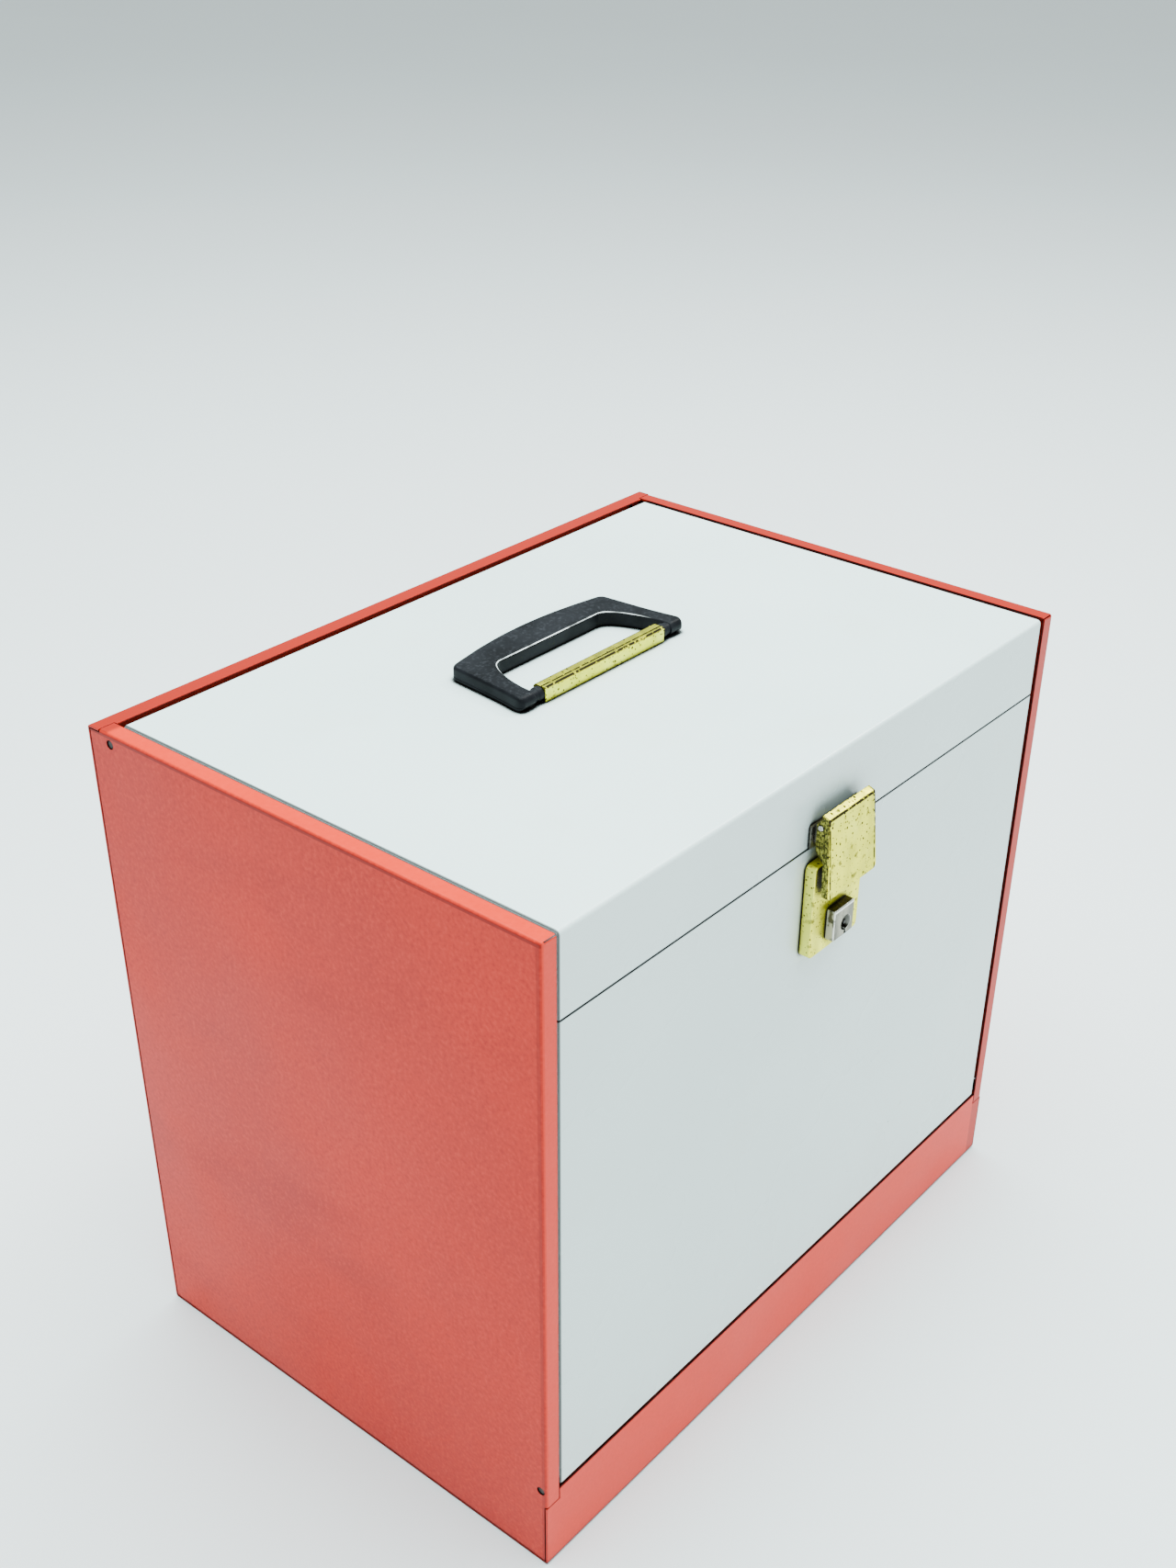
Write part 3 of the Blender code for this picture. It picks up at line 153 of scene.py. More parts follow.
class Surface:
    """A Principled material, with short calls for the nodes that feed it."""

    def __init__(self, name, roughness, metallic=0.0, **sockets):
        self.material = bpy.data.materials.new(name)
        self.material.use_nodes = True
        self.tree = self.material.node_tree
        self.shader = self.tree.nodes["Principled BSDF"]
        self.shader.inputs["Roughness"].default_value = roughness
        self.shader.inputs["Metallic"].default_value = metallic
        for socket, value in sockets.items():
            self.shader.inputs[socket.replace("_", " ")].default_value = value
        self.coordinates = self.add("ShaderNodeTexCoord")
        self.where = self.coordinates.outputs["Object"]

    def add(self, kind, inputs=None, **settings):
        node = self.tree.nodes.new(kind)
        for setting, value in settings.items():
            setattr(node, setting, value)
        for socket, value in (inputs or {}).items():
            if isinstance(value, bpy.types.NodeSocket):
                self.tree.links.new(value, node.inputs[socket])
            else:
                node.inputs[socket].default_value = value
        return node

    def stretched(self, stretch, shift=(0.0, 0.0, 0.0)):
        """The place in space, with the pattern drawn out along each axis by a factor."""
        inputs = {"Vector": self.where, "Scale": [1 / factor for factor in stretch], "Location": shift}
        return self.add("ShaderNodeMapping", inputs).outputs[0]

    def noise(self, size, detail=2.0, stretch=(1.0, 1.0, 1.0), shift=(0.0, 0.0, 0.0)):
        """Smooth noise from 0 to 1 whose lumps are about the given size."""
        inputs = {"Vector": self.stretched(stretch, shift), "Scale": 0.5 / size, "Detail": detail}
        return self.add("ShaderNodeTexNoise", inputs).outputs["Fac"]

    def step(self, value, low, high):
        """0 below low, 1 above high and smooth between them. It falls if high is below low."""
        inputs = {"Value": value, "From Min": low, "From Max": high}
        return self.add("ShaderNodeMapRange", inputs, interpolation_type="SMOOTHSTEP").outputs["Result"]

    def spread(self, value, low, high):
        """Noise is mostly from 0.3 to 0.7. This spreads that stretch over low to high."""
        inputs = {"Value": value, "From Min": 0.3, "From Max": 0.7, "To Min": low, "To Max": high}
        return self.add("ShaderNodeMapRange", inputs).outputs["Result"]

    def math(self, operation, first, second=0.0):
        node = self.add("ShaderNodeMath", {0: first, 1: second}, operation=operation)
        return node.outputs[0]

    def all_of(self, *masks):
        result = masks[0]
        for mask in masks[1:]:
            result = self.math("MULTIPLY", result, mask)
        return result

    def any_of(self, *masks):
        result = masks[0]
        for mask in masks[1:]:
            result = self.math("MAXIMUM", result, mask)
        return result

    def mix(self, mask, first, second, amount=1.0):
        """The first colour where the mask is 0 and the second, by the amount, where it is 1."""
        if amount < 1:
            mask = self.math("MULTIPLY", mask, amount)
        node = self.add("ShaderNodeMix", data_type="RGBA")
        for socket, value in ((0, mask), (6, first), (7, second)):
            if isinstance(value, bpy.types.NodeSocket):
                self.tree.links.new(value, node.inputs[socket])
            else:
                node.inputs[socket].default_value = (*value, 1.0) if socket > 0 else value
        return node.outputs[2]

    def specks(self, cell, radius, share, shift=(0.0, 0.0, 0.0), soft=0.6):
        """Round dots: one in each chosen cell, where share is the part of the cells that are chosen."""
        place = self.stretched((1.0, 1.0, 1.0), shift)
        cells = self.add("ShaderNodeTexVoronoi", {"Vector": place, "Scale": 1 / cell})
        chance = self.add("ShaderNodeSeparateColor", {"Color": cells.outputs["Color"]})
        reach = self.math("MULTIPLY", self.spread(chance.outputs[1], 0.7, 1.0), radius / cell)
        near = self.math("SUBTRACT", reach, cells.outputs["Distance"])
        dot = self.step(near, 0.0, soft * radius / cell)
        chosen = self.math("LESS_THAN", chance.outputs[0], share)
        return self.all_of(dot, chosen)

    def edges(self, radius):
        """1 on the edges of the shape and 0 on its flat faces."""
        soft = self.add("ShaderNodeBevel", {"Radius": radius}, samples=4).outputs["Normal"]
        true = self.add("ShaderNodeNewGeometry").outputs["Normal"]
        dot = self.add("ShaderNodeVectorMath", {0: soft, 1: true}, operation="DOT_PRODUCT").outputs["Value"]
        return self.step(dot, 0.995, 0.9)

    def gap_shade(self, distance, low=0.75, high=0.35):
        """1 in gaps and tight corners and 0 on open faces, from ambient occlusion: the mask for painted
        shade.
        """
        node = self.add("ShaderNodeAmbientOcclusion", {"Distance": distance}, samples=8)
        return self.step(node.outputs["AO"], low, high)

    def facing(self, axis, low, high):
        """1 on faces that look along an axis of the frame, as -Y or +Z."""
        normal = self.add("ShaderNodeSeparateXYZ", {"Vector": self.coordinates.outputs["Normal"]})
        value = normal.outputs["XYZ".index(axis[1])]
        if axis[0] == "-":
            value = self.math("MULTIPLY", value, -1.0)
        return self.step(value, low, high)

    def sideways(self, low, high):
        """1 on faces that look to the left or to the right."""
        return self.any_of(self.facing("-X", low, high), self.facing("+X", low, high))

    def outward(self, low, high):
        """1 on faces that look to the front or up."""
        return self.any_of(self.facing("-Y", low, high), self.facing("+Z", low, high))

    def tilted(self, axis, low, high):
        """1 where the normal's share along an axis lies well between low and high."""
        normal = self.add("ShaderNodeSeparateXYZ", {"Vector": self.coordinates.outputs["Normal"]})
        value = normal.outputs["XYZ".index(axis)]
        fade = 0.2 * (high - low)
        return self.all_of(self.step(value, low, low + fade), self.step(value, high, high - fade))

    def along(self, axis):
        """The place along an axis of the frame."""
        return self.add("ShaderNodeSeparateXYZ", {"Vector": self.where}).outputs["XYZ".index(axis)]

    def line(self, axis, place_at, width):
        """1 on a thin band across an axis of the frame."""
        away = self.math("ABSOLUTE", self.math("SUBTRACT", self.along(axis), place_at))
        return self.step(away, width / 2, width / 4)

    def bump(self, height, depth, below=None):
        """Relief of the given depth where height goes from 0 to 1."""
        inputs = {"Height": height, "Distance": depth, "Strength": 1.0}
        if below is not None:
            inputs["Normal"] = below
        return self.add("ShaderNodeBump", inputs).outputs["Normal"]

    def done(self, colour=None, roughness=None, normal=None, metallic=None):
        sockets = {"Base Color": colour, "Roughness": roughness, "Normal": normal, "Metallic": metallic}
        for socket, value in sockets.items():
            if value is not None:
                self.tree.links.new(value, self.shader.inputs[socket])
        return self.material


def coral_paint():
    """Grainy coral enamel, with painted light on its fronts and tops, painted shade along its edges, folds,
    rims and gaps, and darker on the right and rear flanges.
    """
    s = Surface("coral_enamel", 0.4, Specular_IOR_Level=0.11)
    cloud = s.noise(70 * MM, 3.0)
    colour = s.mix(s.step(cloud, 0.35, 0.65), (0.46, 0.019, 0.010), (0.53, 0.024, 0.012))
    blotch = s.step(s.noise(26 * MM, 3.0, (1.0, 1.6, 0.8)), 0.52, 0.74)
    colour = s.mix(blotch, colour, (0.36, 0.012, 0.007), 0.5)
    grain = s.noise(0.9 * MM, 2.0)
    colour = s.mix(s.step(grain, 0.48, 0.75), colour, (0.66, 0.048, 0.028), 0.40)
    colour = s.mix(s.step(grain, 0.50, 0.25), colour, (0.30, 0.008, 0.005), 0.45)
    # Painted light: the fronts and the tops are painted lighter.
    colour = s.mix(s.facing("-Y", 0.6, 0.9), colour, (0.88, 0.050, 0.026), 0.6)
    colour = s.mix(s.facing("+Z", 0.6, 0.9), colour, (0.72, 0.027, 0.001), 0.65)
    # The tops of the right and rear flanges, and the front of the right flange, are darker.
    far_edges = s.any_of(
        s.step(s.along("X"), cad_high.x - 14 * MM, cad_high.x - 11 * MM),
        s.step(s.along("Y"), cad_high.y - 14 * MM, cad_high.y - 11 * MM),
    )
    darker_far_flanges = s.all_of(far_edges, s.facing("+Z", 0.6, 0.9))
    colour = s.mix(darker_far_flanges, colour, (0.24, 0.006, 0.001), 0.85)
    right_flange = s.step(s.along("X"), cad_high.x - 9 * MM, cad_high.x - 8 * MM)
    darker_far_flanges = s.all_of(right_flange, s.facing("-Y", 0.6, 0.9))
    colour = s.mix(darker_far_flanges, colour, (0.24, 0.008, 0.005), 0.5)
    # Painted shade: a dark band along the right and rear outer edges.
    outer_edges = s.any_of(s.line("X", cad_high.x, 2.6 * MM), s.line("Y", cad_high.y, 2.6 * MM))
    outer_edges = s.all_of(outer_edges, s.outward(0.3, 0.6))
    colour = s.mix(outer_edges, colour, (0.05, 0.005, 0.003), 0.85)
    # Painted shade along every edge and fold.
    colour = s.mix(s.edges(1.0 * MM), colour, (0.34, 0.007, 0.004), 0.60)
    panel_low, panel_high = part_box("side_panel_left")
    sides = s.sideways(0.6, 0.9)
    # Painted shadow on the sides, under the top fold and behind the front fold.
    shadow_under_fold = s.all_of(s.line("Z", panel_high.z - 1.7 * MM, 2.0 * MM), sides)
    colour = s.mix(shadow_under_fold, colour, (0.16, 0.004, 0.002), 0.75)
    shadow_behind_fold = s.all_of(s.line("Y", panel_low.y + 1.9 * MM, 2.4 * MM), sides)
    colour = s.mix(shadow_behind_fold, colour, (0.20, 0.004, 0.002), 0.45)
    chips = s.specks(24 * MM, 0.35 * MM, 0.10)
    colour = s.mix(chips, colour, (0.09, 0.04, 0.035))
    # Painted shade in gaps and corners.
    colour = s.mix(s.gap_shade(5 * MM, 0.86, 0.58), colour, (0.005, 0.002, 0.002))
    peel = s.bump(s.noise(1.8 * MM, 1.0), 0.012 * MM)
    normal = s.bump(s.noise(80 * MM, 1.0), 0.25 * MM, peel)
    roughness = s.spread(s.noise(35 * MM, 3.0), 0.34, 0.46)
    return s.done(colour, roughness, normal)


def white_paint():
    """Off-white enamel with a few specks, painted shade in the gaps round the lid and the flap, and painted
    shadow on fronts near parts that stand out.
    """
    s = Surface("white_enamel", 0.3)
    cloud = s.noise(90 * MM, 3.0)
    colour = s.mix(s.step(cloud, 0.35, 0.65), (0.66, 0.76, 0.75), (0.70, 0.80, 0.79))
    stain = s.step(s.noise(30 * MM, 4.0, shift=(2.0, 0.3, 5.1)), 0.58, 0.75)
    colour = s.mix(stain, colour, (0.66, 0.72, 0.68), 0.35)
    specks = s.any_of(s.specks(38 * MM, 0.55 * MM, 0.16), s.specks(16 * MM, 0.3 * MM, 0.06, (1.3, 0.2, 2.2)))
    colour = s.mix(specks, colour, (0.06, 0.05, 0.045))
    # Painted shadow on the fronts near parts that stand out, such as the hasp.
    shade = s.all_of(s.gap_shade(13 * MM, 0.95, 0.35), s.facing("-Y", 0.7, 0.95))
    colour = s.mix(shade, colour, (0.10, 0.11, 0.13), 0.75)
    # Painted shade: dark lines along the seam between the lid and the flap, and beside the flap's sides.
    seam_z = (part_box("lid_shell")[0].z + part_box("front_flap")[1].z) / 2
    seam = s.all_of(s.line("Z", seam_z, 1.8 * MM), s.facing("-Y", 0.3, 0.7))
    flap_low, flap_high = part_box("front_flap")
    rims = s.any_of(s.line("X", flap_low.x, 2.4 * MM), s.line("X", flap_high.x, 2.4 * MM))
    beside = s.all_of(rims, s.outward(0.3, 0.6))
    colour = s.mix(s.any_of(seam, beside), colour, (0.012, 0.012, 0.012), 0.9)
    # Painted shade in gaps and corners.
    colour = s.mix(s.gap_shade(3 * MM, 0.90, 0.60), colour, (0.006, 0.005, 0.005))
    peel = s.bump(s.noise(1.8 * MM, 1.0), 0.010 * MM)
    normal = s.bump(s.noise(100 * MM, 1.0), 0.25 * MM, peel)
    roughness = s.spread(s.noise(30 * MM, 3.0), 0.22, 0.34)
    return s.done(colour, roughness, normal)


def pale_brass(
    name, colours, top_shade, side_shade_and_tarnish=0.0, shade=5 * MM, open_share=0.80, lines=(), covered=0.0
):
    """Brass plate with pits and stains. Its upper faces can be painted darker than its front as painted
    shade, and its sides can get painted shade with tarnish spots.

    Each thin dark line is the axis it lies across, its place along that axis and the way its face looks.
    With a covered distance, the sides get a painted highlight and the front gets painted shadow where a
    piece that near covers it.
    """
    s = Surface(name, 0.35, 1.0, Specular_IOR_Level=0.08)
    light, olive, pale = colours
    streak = s.step(s.noise(5 * MM, 4.0, (1.0, 1.0, 2.5)), 0.42, 0.68)
    colour = s.mix(streak, light, olive)
    patch = s.step(s.noise(8 * MM, 3.0, shift=(0.6, 1.1, 2.3)), 0.5, 0.7)
    colour = s.mix(patch, colour, pale, 0.5)
    # Painted shade on the upper faces.
    colour = s.mix(s.facing("+Z", 0.6, 0.9), colour, (0.36, 0.33, 0.02), top_shade)
    # Painted shade on the sides, with dark tarnish spots in it.
    sides = s.sideways(0.5, 0.8)
    spots = s.step(s.noise(0.45 * MM, 3.0, (1.0, 1.0, 1.6), (0.0, 3.0, 0.0)), 0.58, 0.44)
    tarnish_and_shade = s.mix(spots, (0.34, 0.30, 0.06), (0.030, 0.024, 0.010))
    colour = s.mix(sides, colour, tarnish_and_shade, side_shade_and_tarnish)
    pits = s.any_of(
        s.specks(2.8 * MM, 0.70 * MM, 0.62, soft=0.3),
        s.specks(1.9 * MM, 0.50 * MM, 0.60, (0.7, 0.1, 0.3), 0.3),
        s.specks(1.0 * MM, 0.26 * MM, 0.30, (0.2, 0.9, 0.6), 0.3),
    )
    stain = s.step(s.noise(2.2 * MM, 4.0, shift=(4.2, 0.4, 1.0)), 0.60, 0.70)
    # Dark dashes along the edges.
    patchy = s.step(s.noise(0.8 * MM, 2.0, shift=(1.0, 7.0, 0.0)), 0.44, 0.52)
    dark_edge_dashes = s.all_of(s.edges(0.55 * MM), patchy)
    dark = s.any_of(pits, s.math("MULTIPLY", stain, 0.6), dark_edge_dashes)
    breaks = s.step(s.noise(1.4 * MM, 2.0, shift=(0.0, 0.0, 9.0)), 0.34, 0.44)
    for axis, place_at, face in lines:
        dark = s.any_of(dark, s.all_of(s.line(axis, place_at, 1.2 * MM), breaks, s.facing(face, 0.2, 0.5)))
    if covered:
        # Painted shadow on the front under a covering piece.
        shadow_under_cover = s.all_of(s.gap_shade(covered, 0.88, 0.58), s.facing("-Y", 0.8, 0.98))
        dark = s.any_of(dark, shadow_under_cover)
        # Painted highlight on the sides.
        colour = s.mix(sides, colour, (0.98, 0.91, 0.13), 0.75)
    colour = s.mix(dark, colour, (0.014, 0.010, 0.004))
    # Painted shade in gaps and corners.
    colour = s.mix(s.gap_shade(shade, open_share, open_share - 0.38), colour, (0.008, 0.006, 0.003))
    roughness = s.spread(s.noise(3 * MM, 3.0), 0.26, 0.44)
    roughness = s.math("ADD", roughness, s.math("MULTIPLY", dark, 0.4))
    metallic = s.math("SUBTRACT", 1.0, s.math("MULTIPLY", dark, 0.9))
    normal = s.bump(s.noise(0.5 * MM, 2.0), 0.01 * MM)
    normal = s.bump(pits, -0.06 * MM, normal)
    return s.done(colour, roughness, normal, metallic)


def plain_steel(name, light, dark):
    """Brushed steel with a little rust."""
    s = Surface(name, 0.38, 1.0)
    streak = s.noise(1.5 * MM, 3.0, (1.0, 1.0, 6.0))
    colour = s.mix(s.step(streak, 0.35, 0.65), dark, light)
    rust = s.step(s.noise(4 * MM, 5.0), 0.62, 0.72)
    colour = s.mix(rust, colour, (0.16, 0.08, 0.035), 0.7)
    # Painted shade in gaps and corners.
    colour = s.mix(s.gap_shade(2.5 * MM, 0.7, 0.3), colour, (0.02, 0.015, 0.01))
    roughness = s.math("ADD", s.spread(streak, 0.28, 0.42), s.math("MULTIPLY", rust, 0.35))
    metallic = s.math("SUBTRACT", 1.0, s.math("MULTIPLY", rust, 0.6))
    normal = s.bump(s.noise(0.6 * MM, 2.0, (1.0, 1.0, 6.0)), 0.01 * MM)
    return s.done(colour, roughness, normal, metallic)


def worn_nickel():
    """Scuffed nickel plate, with painted shade on top, painted light on its sides and a painted highlight
    along the edge between its top and its front.
    """
    s = Surface("worn_nickel", 0.22, 1.0)
    cloud = s.noise(3 * MM, 4.0, (1.0, 1.0, 3.0))
    colour = s.mix(s.step(cloud, 0.35, 0.65), (0.25, 0.235, 0.175), (0.14, 0.132, 0.100))
    scuff = s.step(s.noise(1.2 * MM, 4.0, (1.0, 1.0, 2.2), (2.0, 0.0, 1.0)), 0.54, 0.66)
    sides = s.sideways(0.5, 0.9)
    # Painted light: the sides are painted lighter.
    colour = s.mix(sides, colour, (0.50, 0.485, 0.44), 0.8)
    colour = s.mix(s.all_of(scuff, s.math("ADD", 0.35, sides)), colour, (0.05, 0.045, 0.035))
    # Painted shade on top.
    colour = s.mix(s.facing("+Z", 0.6, 0.95), colour, (0.030, 0.024, 0.012), 0.95)
    # Painted highlight along the edge between the top and the front.
    button_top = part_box("lock_button")[1].z
    top_edge = s.all_of(s.line("Z", button_top - 0.6 * MM, 1.8 * MM), s.facing("-Y", 0.3, 0.6))
    bright = s.step(s.noise(1.5 * MM, 2.0), 0.30, 0.42)
    rim_highlight = s.all_of(s.any_of(s.tilted("Y", -0.93, -0.35), top_edge), bright)
    colour = s.mix(rim_highlight, colour, (0.85, 0.82, 0.76), 0.85)
    # Painted shade in gaps and corners.
    colour = s.mix(s.gap_shade(2 * MM, 0.75, 0.45), colour, (0.006, 0.005, 0.004))
    roughness = s.math("ADD", s.spread(cloud, 0.18, 0.32), s.math("MULTIPLY", scuff, 0.2))
    metallic = s.math("SUBTRACT", 1.0, s.math("MULTIPLY", sides, 0.8))
    normal = s.bump(s.noise(0.4 * MM, 2.0), 0.008 * MM)
    return s.done(colour, roughness, normal, metallic)


def black_plastic():
    """Black moulded plastic, dusty and painted lighter on top, with a painted highlight along its inner edge
    behind the bar.
    """
    s = Surface("black_plastic", 0.36, Specular_IOR_Level=0.045)
    cloud = s.noise(9 * MM, 3.0)
    colour = s.mix(s.step(cloud, 0.35, 0.65), (0.004, 0.004, 0.005), (0.009, 0.009, 0.011))
    # Dust on the tops, which also paints them lighter as painted light.
    dust_and_sheen = s.all_of(s.step(s.noise(0.7 * MM, 3.0), 0.50, 0.72), s.facing("+Z", 0.6, 0.95))
    colour = s.mix(dust_and_sheen, colour, (0.045, 0.045, 0.052), 0.30)
    # Painted highlight along the inner edge behind the bar.
    bar_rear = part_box("handle_channel")[1].y
    behind_bar = s.step(s.along("Y"), bar_rear, bar_rear + 4 * MM)
    highlight_band = s.all_of(s.tilted("Z", 0.55, 0.90), s.tilted("Y", -0.95, -0.12), behind_bar)
    patchy = s.step(s.noise(5 * MM, 3.0, shift=(0.0, 6.0, 0.0)), 0.35, 0.55)
    highlight = s.all_of(highlight_band, s.math("ADD", 0.2, s.math("MULTIPLY", patchy, 0.8)))
    colour = s.mix(highlight, colour, (0.85, 0.85, 0.86))
    # Painted shade in gaps and corners.
    colour = s.mix(s.gap_shade(4 * MM, 0.75, 0.40), colour, (0.001, 0.001, 0.001))
    roughness = s.spread(s.noise(6 * MM, 3.0), 0.30, 0.42)
    normal = s.bump(s.noise(0.55 * MM, 2.0), 0.014 * MM)
    return s.done(colour, roughness, normal)


def bar_lines():
    """The dark lines along the top of the handle's bar: at its rear and front edges and between them."""
    low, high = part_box("handle_channel")
    return [("Y", y, "+Z") for y in (high.y - 0.9 * MM, low.y + 2.4 * MM, low.y + 0.6 * MM)]


def hasp_lines():
    """The dark lines round the front of the hasp, just inside its top and side folds."""
    low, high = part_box("hasp_plate")
    return [("Z", high.z - 1.6 * MM, "-Y"), ("X", low.x + 2.0 * MM, "-Y"), ("X", high.x - 2.0 * MM, "-Y")]


# Pieces


def body_of(node):
    """The body that a CAD node rides on."""
    return next(body for body, nodes in frame["record"]["behaviour"]["bodies"].items() if node in nodes)


def place(name, shape, slot, body, nodes, look=None):
    """Makes a piece of a bmesh, which rides on a body and stands for any CAD nodes that are given."""
    mesh = bpy.data.meshes.new(name)
    shape.to_mesh(mesh)
    shape.free()
    mesh.materials.append(materials[look or slot])
    mesh.shade_smooth()
    mesh.set_sharp_from_angle(angle=radians(SHADE_ANGLE))
    piece = bpy.data.objects.new(name, mesh)
    bpy.context.collection.objects.link(piece)
    weighted = piece.modifiers.new("weighted_normals", "WEIGHTED_NORMAL")
    weighted.keep_sharp = True
    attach(piece, body)
    if nodes:
        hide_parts(*nodes)
    return piece


def whole_faces(node):
    """A CAD node's shape as a bmesh, with whole faces in place of triangles."""
    shape = bmesh.new()
    shape.from_mesh(frame["nodes"][node].data)
    bmesh.ops.remove_doubles(shape, verts=shape.verts, dist=WELD)
    bmesh.ops.dissolve_limit(
        shape, angle_limit=radians(FLAT_ANGLE), verts=shape.verts, edges=shape.edges, delimit=set()
    )
    bmesh.ops.recalc_face_normals(shape, faces=shape.faces)
    return shape


def soften(shape, width, steps=2):
    """Rounds every crease of a bmesh."""
    creases = [edge for edge in shape.edges if edge.calc_face_angle(0.0) > radians(CREASE_ANGLE)]
    bmesh.ops.bevel(
        shape, geom=creases, offset=width, segments=steps, profile=0.5, affect="EDGES", clamp_overlap=True
    )
    return shape


def refine(node, slot, width, steps=2, look=None):
    """A finer copy of a CAD node, with soft edges."""
    shape = soften(whole_faces(node), width, steps)
    return place(f"{node}_surface", shape, slot, body_of(node), [node], look)


def skin(shape, rings):
    """Joins rings of vertices into a closed tube with flat ends."""
    for ring, after in zip(rings, rings[1:]):
        for k in range(len(ring)):
            following = (k + 1) % len(ring)
            shape.faces.new((ring[k], ring[following], after[following], after[k]))
    shape.faces.new(rings[0])
    shape.faces.new(rings[-1])
    bmesh.ops.recalc_face_normals(shape, faces=shape.faces)


def smooth_between(points, k, share):
    """A point on the smooth curve through four neighbours, from points[k] to points[k + 1]."""
    last = len(points) - 1
    before, start, end, after = (Vector(points[min(max(i, 0), last)]) for i in (k - 1, k, k + 1, k + 2))
    bend = 2 * before - 5 * start + 4 * end - after
    twist = 3 * start - before - 3 * end + after
    return start + 0.5 * share * ((end - before) + share * (bend + share * twist))


def grip_outline():
    """Pairs of (inner, outer) plan points round the whole grip, from its left end to its right one."""
    inner = [pair[0] for pair in GRIP_STATIONS]
    outer = [pair[1] for pair in GRIP_STATIONS]
    half = []
    for k in range(len(GRIP_STATIONS) - 1):
        for part in range(GRIP_PARTS):
            share = part / GRIP_PARTS
            half.append((smooth_between(inner, k, share), smooth_between(outer, k, share)))
    half.append((Vector(inner[-1]), Vector(outer[-1])))
    mirrored = [(Vector((-a.x, a.y)), Vector((-b.x, b.y))) for a, b in reversed(half[:-1])]
    return half + mirrored


def grip_ring(width, height):
    """The grip's section: a slab with round edges and a fine parting line low on its outer side."""
    half = height / 2
    outer_top = min(GRIP_OUTER_SHARE * width, GRIP_OUTER_RADIUS, 0.8 * half)
    inner_top = min(GRIP_INNER_SHARE * width, GRIP_INNER_RADIUS, 0.8 * half)
    foot = min(GRIP_FOOT_RADIUS, GRIP_FOOT_SHARE * half)
    ring = []
    for k in range(7):
        angle = pi / 2 * k / 6
        ring.append((width - outer_top * (1 - cos(angle)), half - outer_top * (1 - sin(angle))))
    for k in range(6):
        angle = pi / 2 * (1 - k / 5)
        ring.append((inner_top * (1 - cos(angle)), half - inner_top * (1 - sin(angle))))
    for k in range(4):
        angle = pi / 2 * k / 3
        ring.append((foot * (1 - cos(angle)), -half + foot * (1 - sin(angle))))
    for k in range(4):
        angle = pi / 2 * (1 - k / 3)
        ring.append((width - foot * (1 - cos(angle)), -half + foot * (1 - sin(angle))))
    line = -half + GRIP_PARTING * height
    groove = min(GRIP_GROOVE, 0.05 * height)
    ring += [(width, line - groove), (width - groove, line), (width, line + groove)]
    return ring


def make_grip():
    """The flat C-shaped grip, with a smooth plan and round noses beside the bar."""
    low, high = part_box("handle_grip")
    rod_low, rod_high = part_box("handle_rod")
    centre = (rod_low + rod_high) / 2
    half_thickness = (high.z - low.z) / 2 / MM
    shape = bmesh.new()
    rings = []
    for inner, outer in grip_outline():
        ahead = min(0.0, inner.y)
        height = max(2 * sqrt(max(half_thickness**2 - ahead**2, 0.0)), GRIP_NOSE_HEIGHT)
        across = (outer - inner).normalized()
        ring = []
        for reach, z in grip_ring((outer - inner).length, height):
            x, y = inner.x + across.x * reach, inner.y + across.y * reach
            ring.append(shape.verts.new(centre + MM * Vector((x, y, z))))
        rings.append(ring)
    skin(shape, rings)
    place("handle_grip_surface", shape, "black_plastic", "handle", ["handle_grip"])


def make_collar(name, side):
    """The round lug between one end of the bar and the grip, with a rim next to the bar."""
    bar_low, bar_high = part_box("handle_channel")
    rod_low, rod_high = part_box("handle_rod")
    centre = (rod_low + rod_high) / 2
    start = (bar_high.x if side > 0 else bar_low.x) + side * COLLAR_GAP
    shape = bmesh.new()
    rings = []
    for along, radius in COLLAR_PROFILE:
        ring = []
        for k in range(COLLAR_STEPS):
            angle = 2 * pi * k / COLLAR_STEPS
            offset = Vector((0.0, radius * cos(angle), radius * sin(angle)))
            middle = Vector((start + side * along * MM, centre.y, centre.z))
            ring.append(shape.verts.new(middle + MM * offset))
        rings.append(ring)
    skin(shape, rings)
    place(name, shape, "black_plastic", "handle", [])


def make_spring():
    """The slide's spring, a finer copy of its CAD node with a mesh of its own. The real spring shortens
    towards its fixed right end as the button moves; this copy does not.
    """
    spring = refine("slide_spring", "steel", SPRING_EDGE)
    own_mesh(spring)


# The studio


def make_camera():
    """The main camera, which the scene uses."""
    camera = bpy.data.objects.new("camera", bpy.data.cameras.new("camera"))
    bpy.context.collection.objects.link(camera)
    place_at, aim = Vector(CAMERA_PLACE), Vector(CAMERA_AIM)
    turn = (aim - place_at).to_track_quat("-Z", "Y").to_matrix()
    turn = turn @ Matrix.Rotation(radians(CAMERA_ROLL), 3, "Z")
    camera.matrix_world = Matrix.Translation(place_at) @ turn.to_4x4()
    camera.data.lens = CAMERA_LENS
    camera.data.shift_x, camera.data.shift_y = CAMERA_SHIFT
    bpy.context.scene.camera = camera


def make_floor():
    """A plain pale floor under the box."""
    shape = bmesh.new()
    bmesh.ops.create_grid(shape, x_segments=1, y_segments=1, size=FLOOR_SIZE / 2)
    mesh = bpy.data.meshes.new("floor")
    shape.to_mesh(mesh)
    shape.free()
    s = Surface("floor_card", 0.7)
    colour = s.mix(s.step(s.noise(0.4, 3.0), 0.3, 0.7), FLOOR_COLOUR, [0.985 * c for c in FLOOR_COLOUR])
    mesh.materials.append(s.done(colour))
    floor = bpy.data.objects.new("floor", mesh)
    floor.location.z = cad_low.z - FLOOR_GAP
    bpy.context.collection.objects.link(floor)


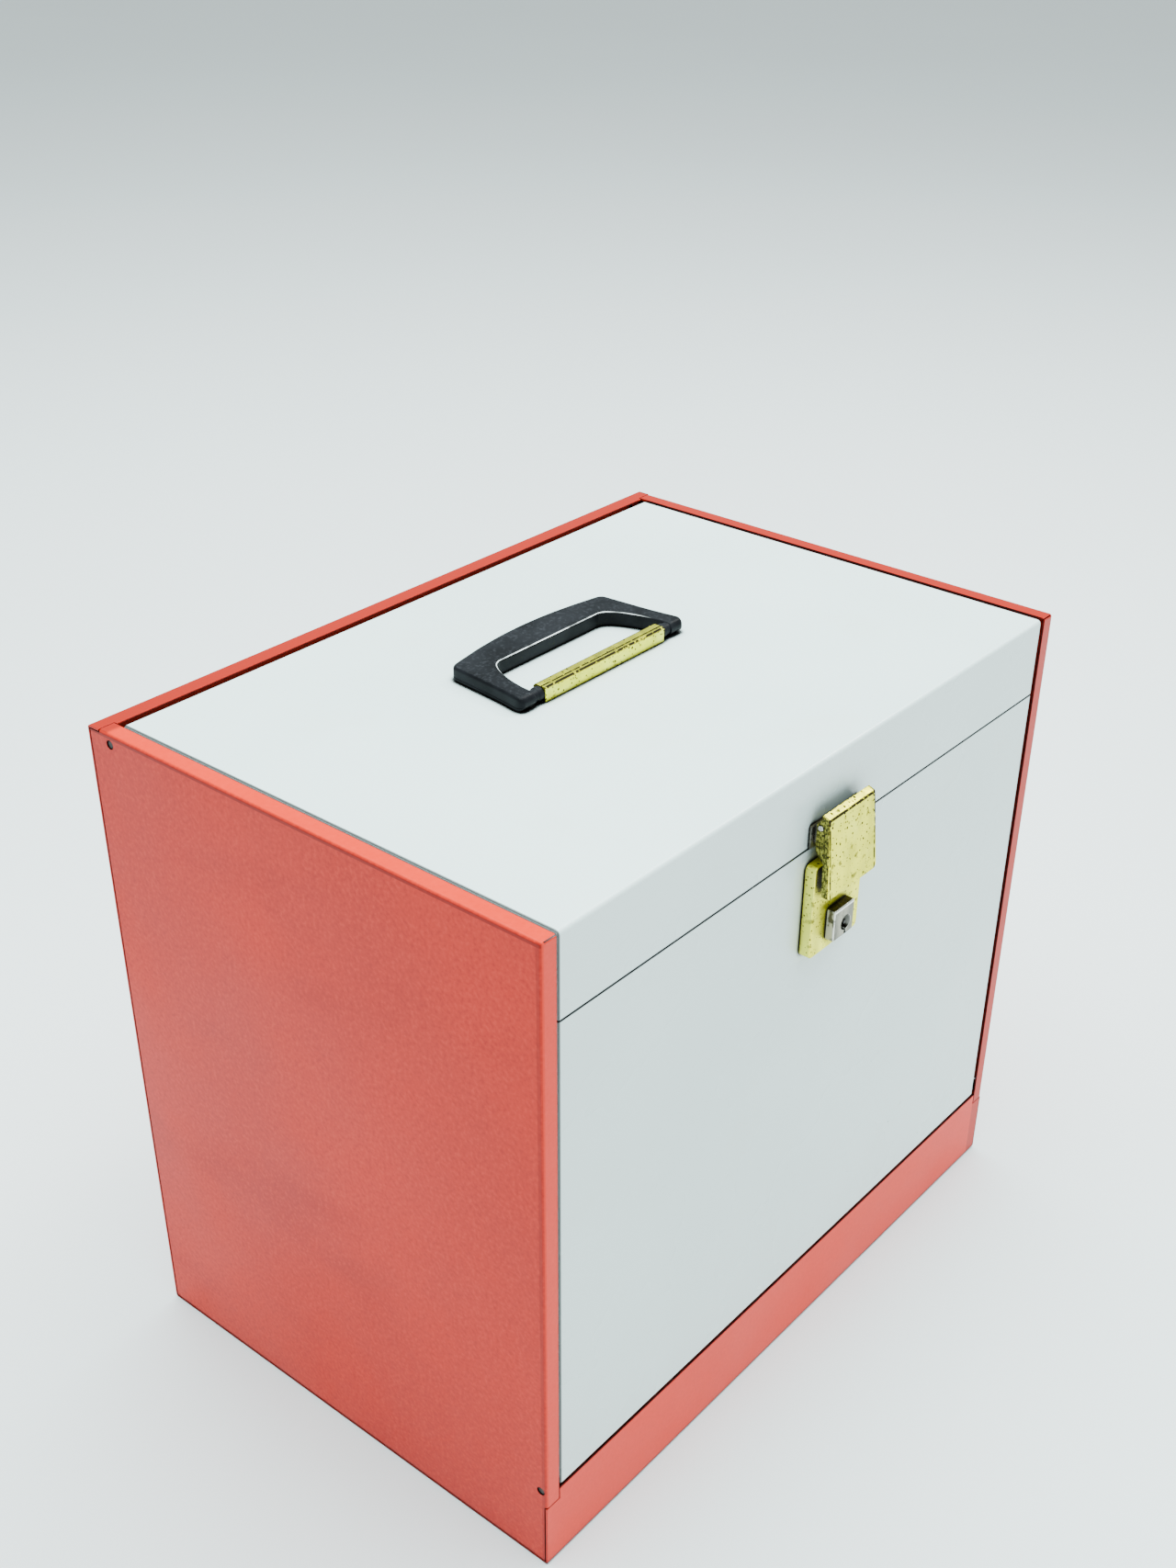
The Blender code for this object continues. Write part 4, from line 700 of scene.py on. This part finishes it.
def make_light(name, place_at, aim, size, power, colour):
    data = bpy.data.lights.new(name, "AREA")
    data.shape = "RECTANGLE"
    data.size, data.size_y = size
    data.energy = power
    data.color = colour
    light = bpy.data.objects.new(name, data)
    light.location = place_at
    light.rotation_euler = (Vector(aim) - Vector(place_at)).to_track_quat("-Z", "Y").to_euler()
    bpy.context.collection.objects.link(light)


def make_room():
    """Pale surroundings, a wide lamp overhead and a small one to the right."""
    world = bpy.data.worlds.new("room")
    world.use_nodes = True
    background = world.node_tree.nodes["Background"]
    background.inputs["Color"].default_value = (*ROOM_COLOUR, 1.0)
    background.inputs["Strength"].default_value = ROOM_STRENGTH
    bpy.context.scene.world = world
    make_light("overhead", OVERHEAD_PLACE, LIT_PLACE, OVERHEAD_SIZE, OVERHEAD_POWER, OVERHEAD_COLOUR)
    make_light("side_lamp", SIDE_PLACE, LIT_PLACE, SIDE_SIZE, SIDE_POWER, SIDE_COLOUR)


materials = {
    "coral_paint": coral_paint(),
    "white_paint": white_paint(),
    "brass": pale_brass("case_brass", BRASS_COLOURS, 0.5, shade=4 * MM, open_share=0.62, covered=9 * MM),
    "hasp_brass": pale_brass(
        "hasp_brass", BRASS_COLOURS, 0.7, side_shade_and_tarnish=0.95, shade=3 * MM, lines=hasp_lines()
    ),
    "hinge_brass": pale_brass("hinge_brass", DULL_BRASS_COLOURS, 0.3),
    "bar_brass": pale_brass("bar_brass", BRASS_COLOURS, 0.45, lines=bar_lines()),
    "steel": plain_steel("zinc_steel", (0.56, 0.56, 0.56), (0.42, 0.42, 0.43)),
    "dark_steel": plain_steel("dark_steel", (0.035, 0.032, 0.03), (0.015, 0.013, 0.012)),
    "nickel": worn_nickel(),
    "black_plastic": black_plastic(),
}

make_camera()
make_floor()
make_room()

for node in ("base_wrap", "side_panel_left", "side_panel_right", "file_rail_left", "file_rail_right"):
    refine(node, "coral_paint", SHEET_EDGE)
for node in ("lid_shell", "front_flap"):
    refine(node, "white_paint", SHEET_EDGE)
refine("lock_case", "brass", SHEET_EDGE, 3)
refine("handle_channel", "brass", SHEET_EDGE, 3, "bar_brass")
refine("hasp_hinge_plate", "brass", SHEET_EDGE, 3, "hinge_brass")
refine("hasp_plate", "brass", SHEET_EDGE, 3, "hasp_brass")
refine("lock_button", "nickel", BUTTON_EDGE, 3)
make_grip()
make_collar("handle_collar_left", -1)
make_collar("handle_collar_right", 1)
for node in ("lid_pivot_left", "lid_pivot_right", "flap_pivot_left", "flap_pivot_right"):
    refine(node, "steel", STEEL_EDGE, 3, "dark_steel")
refine("key_post", "steel", STEEL_EDGE, 3, "dark_steel")
refine("hasp_pin", "steel", PIN_EDGE, 3, "nickel")
for node in (
    "handle_rod", "handle_backing_plate", "handle_rivet_left", "handle_rivet_right", "hinge_rivet_left",
    "hinge_rivet_right", "hasp_hook", "lock_base_plate", "lock_rivet_lower", "lock_rivet_upper",
    "lock_slide", "key_cam",
):
    refine(node, "steel", STEEL_EDGE)
make_spring()
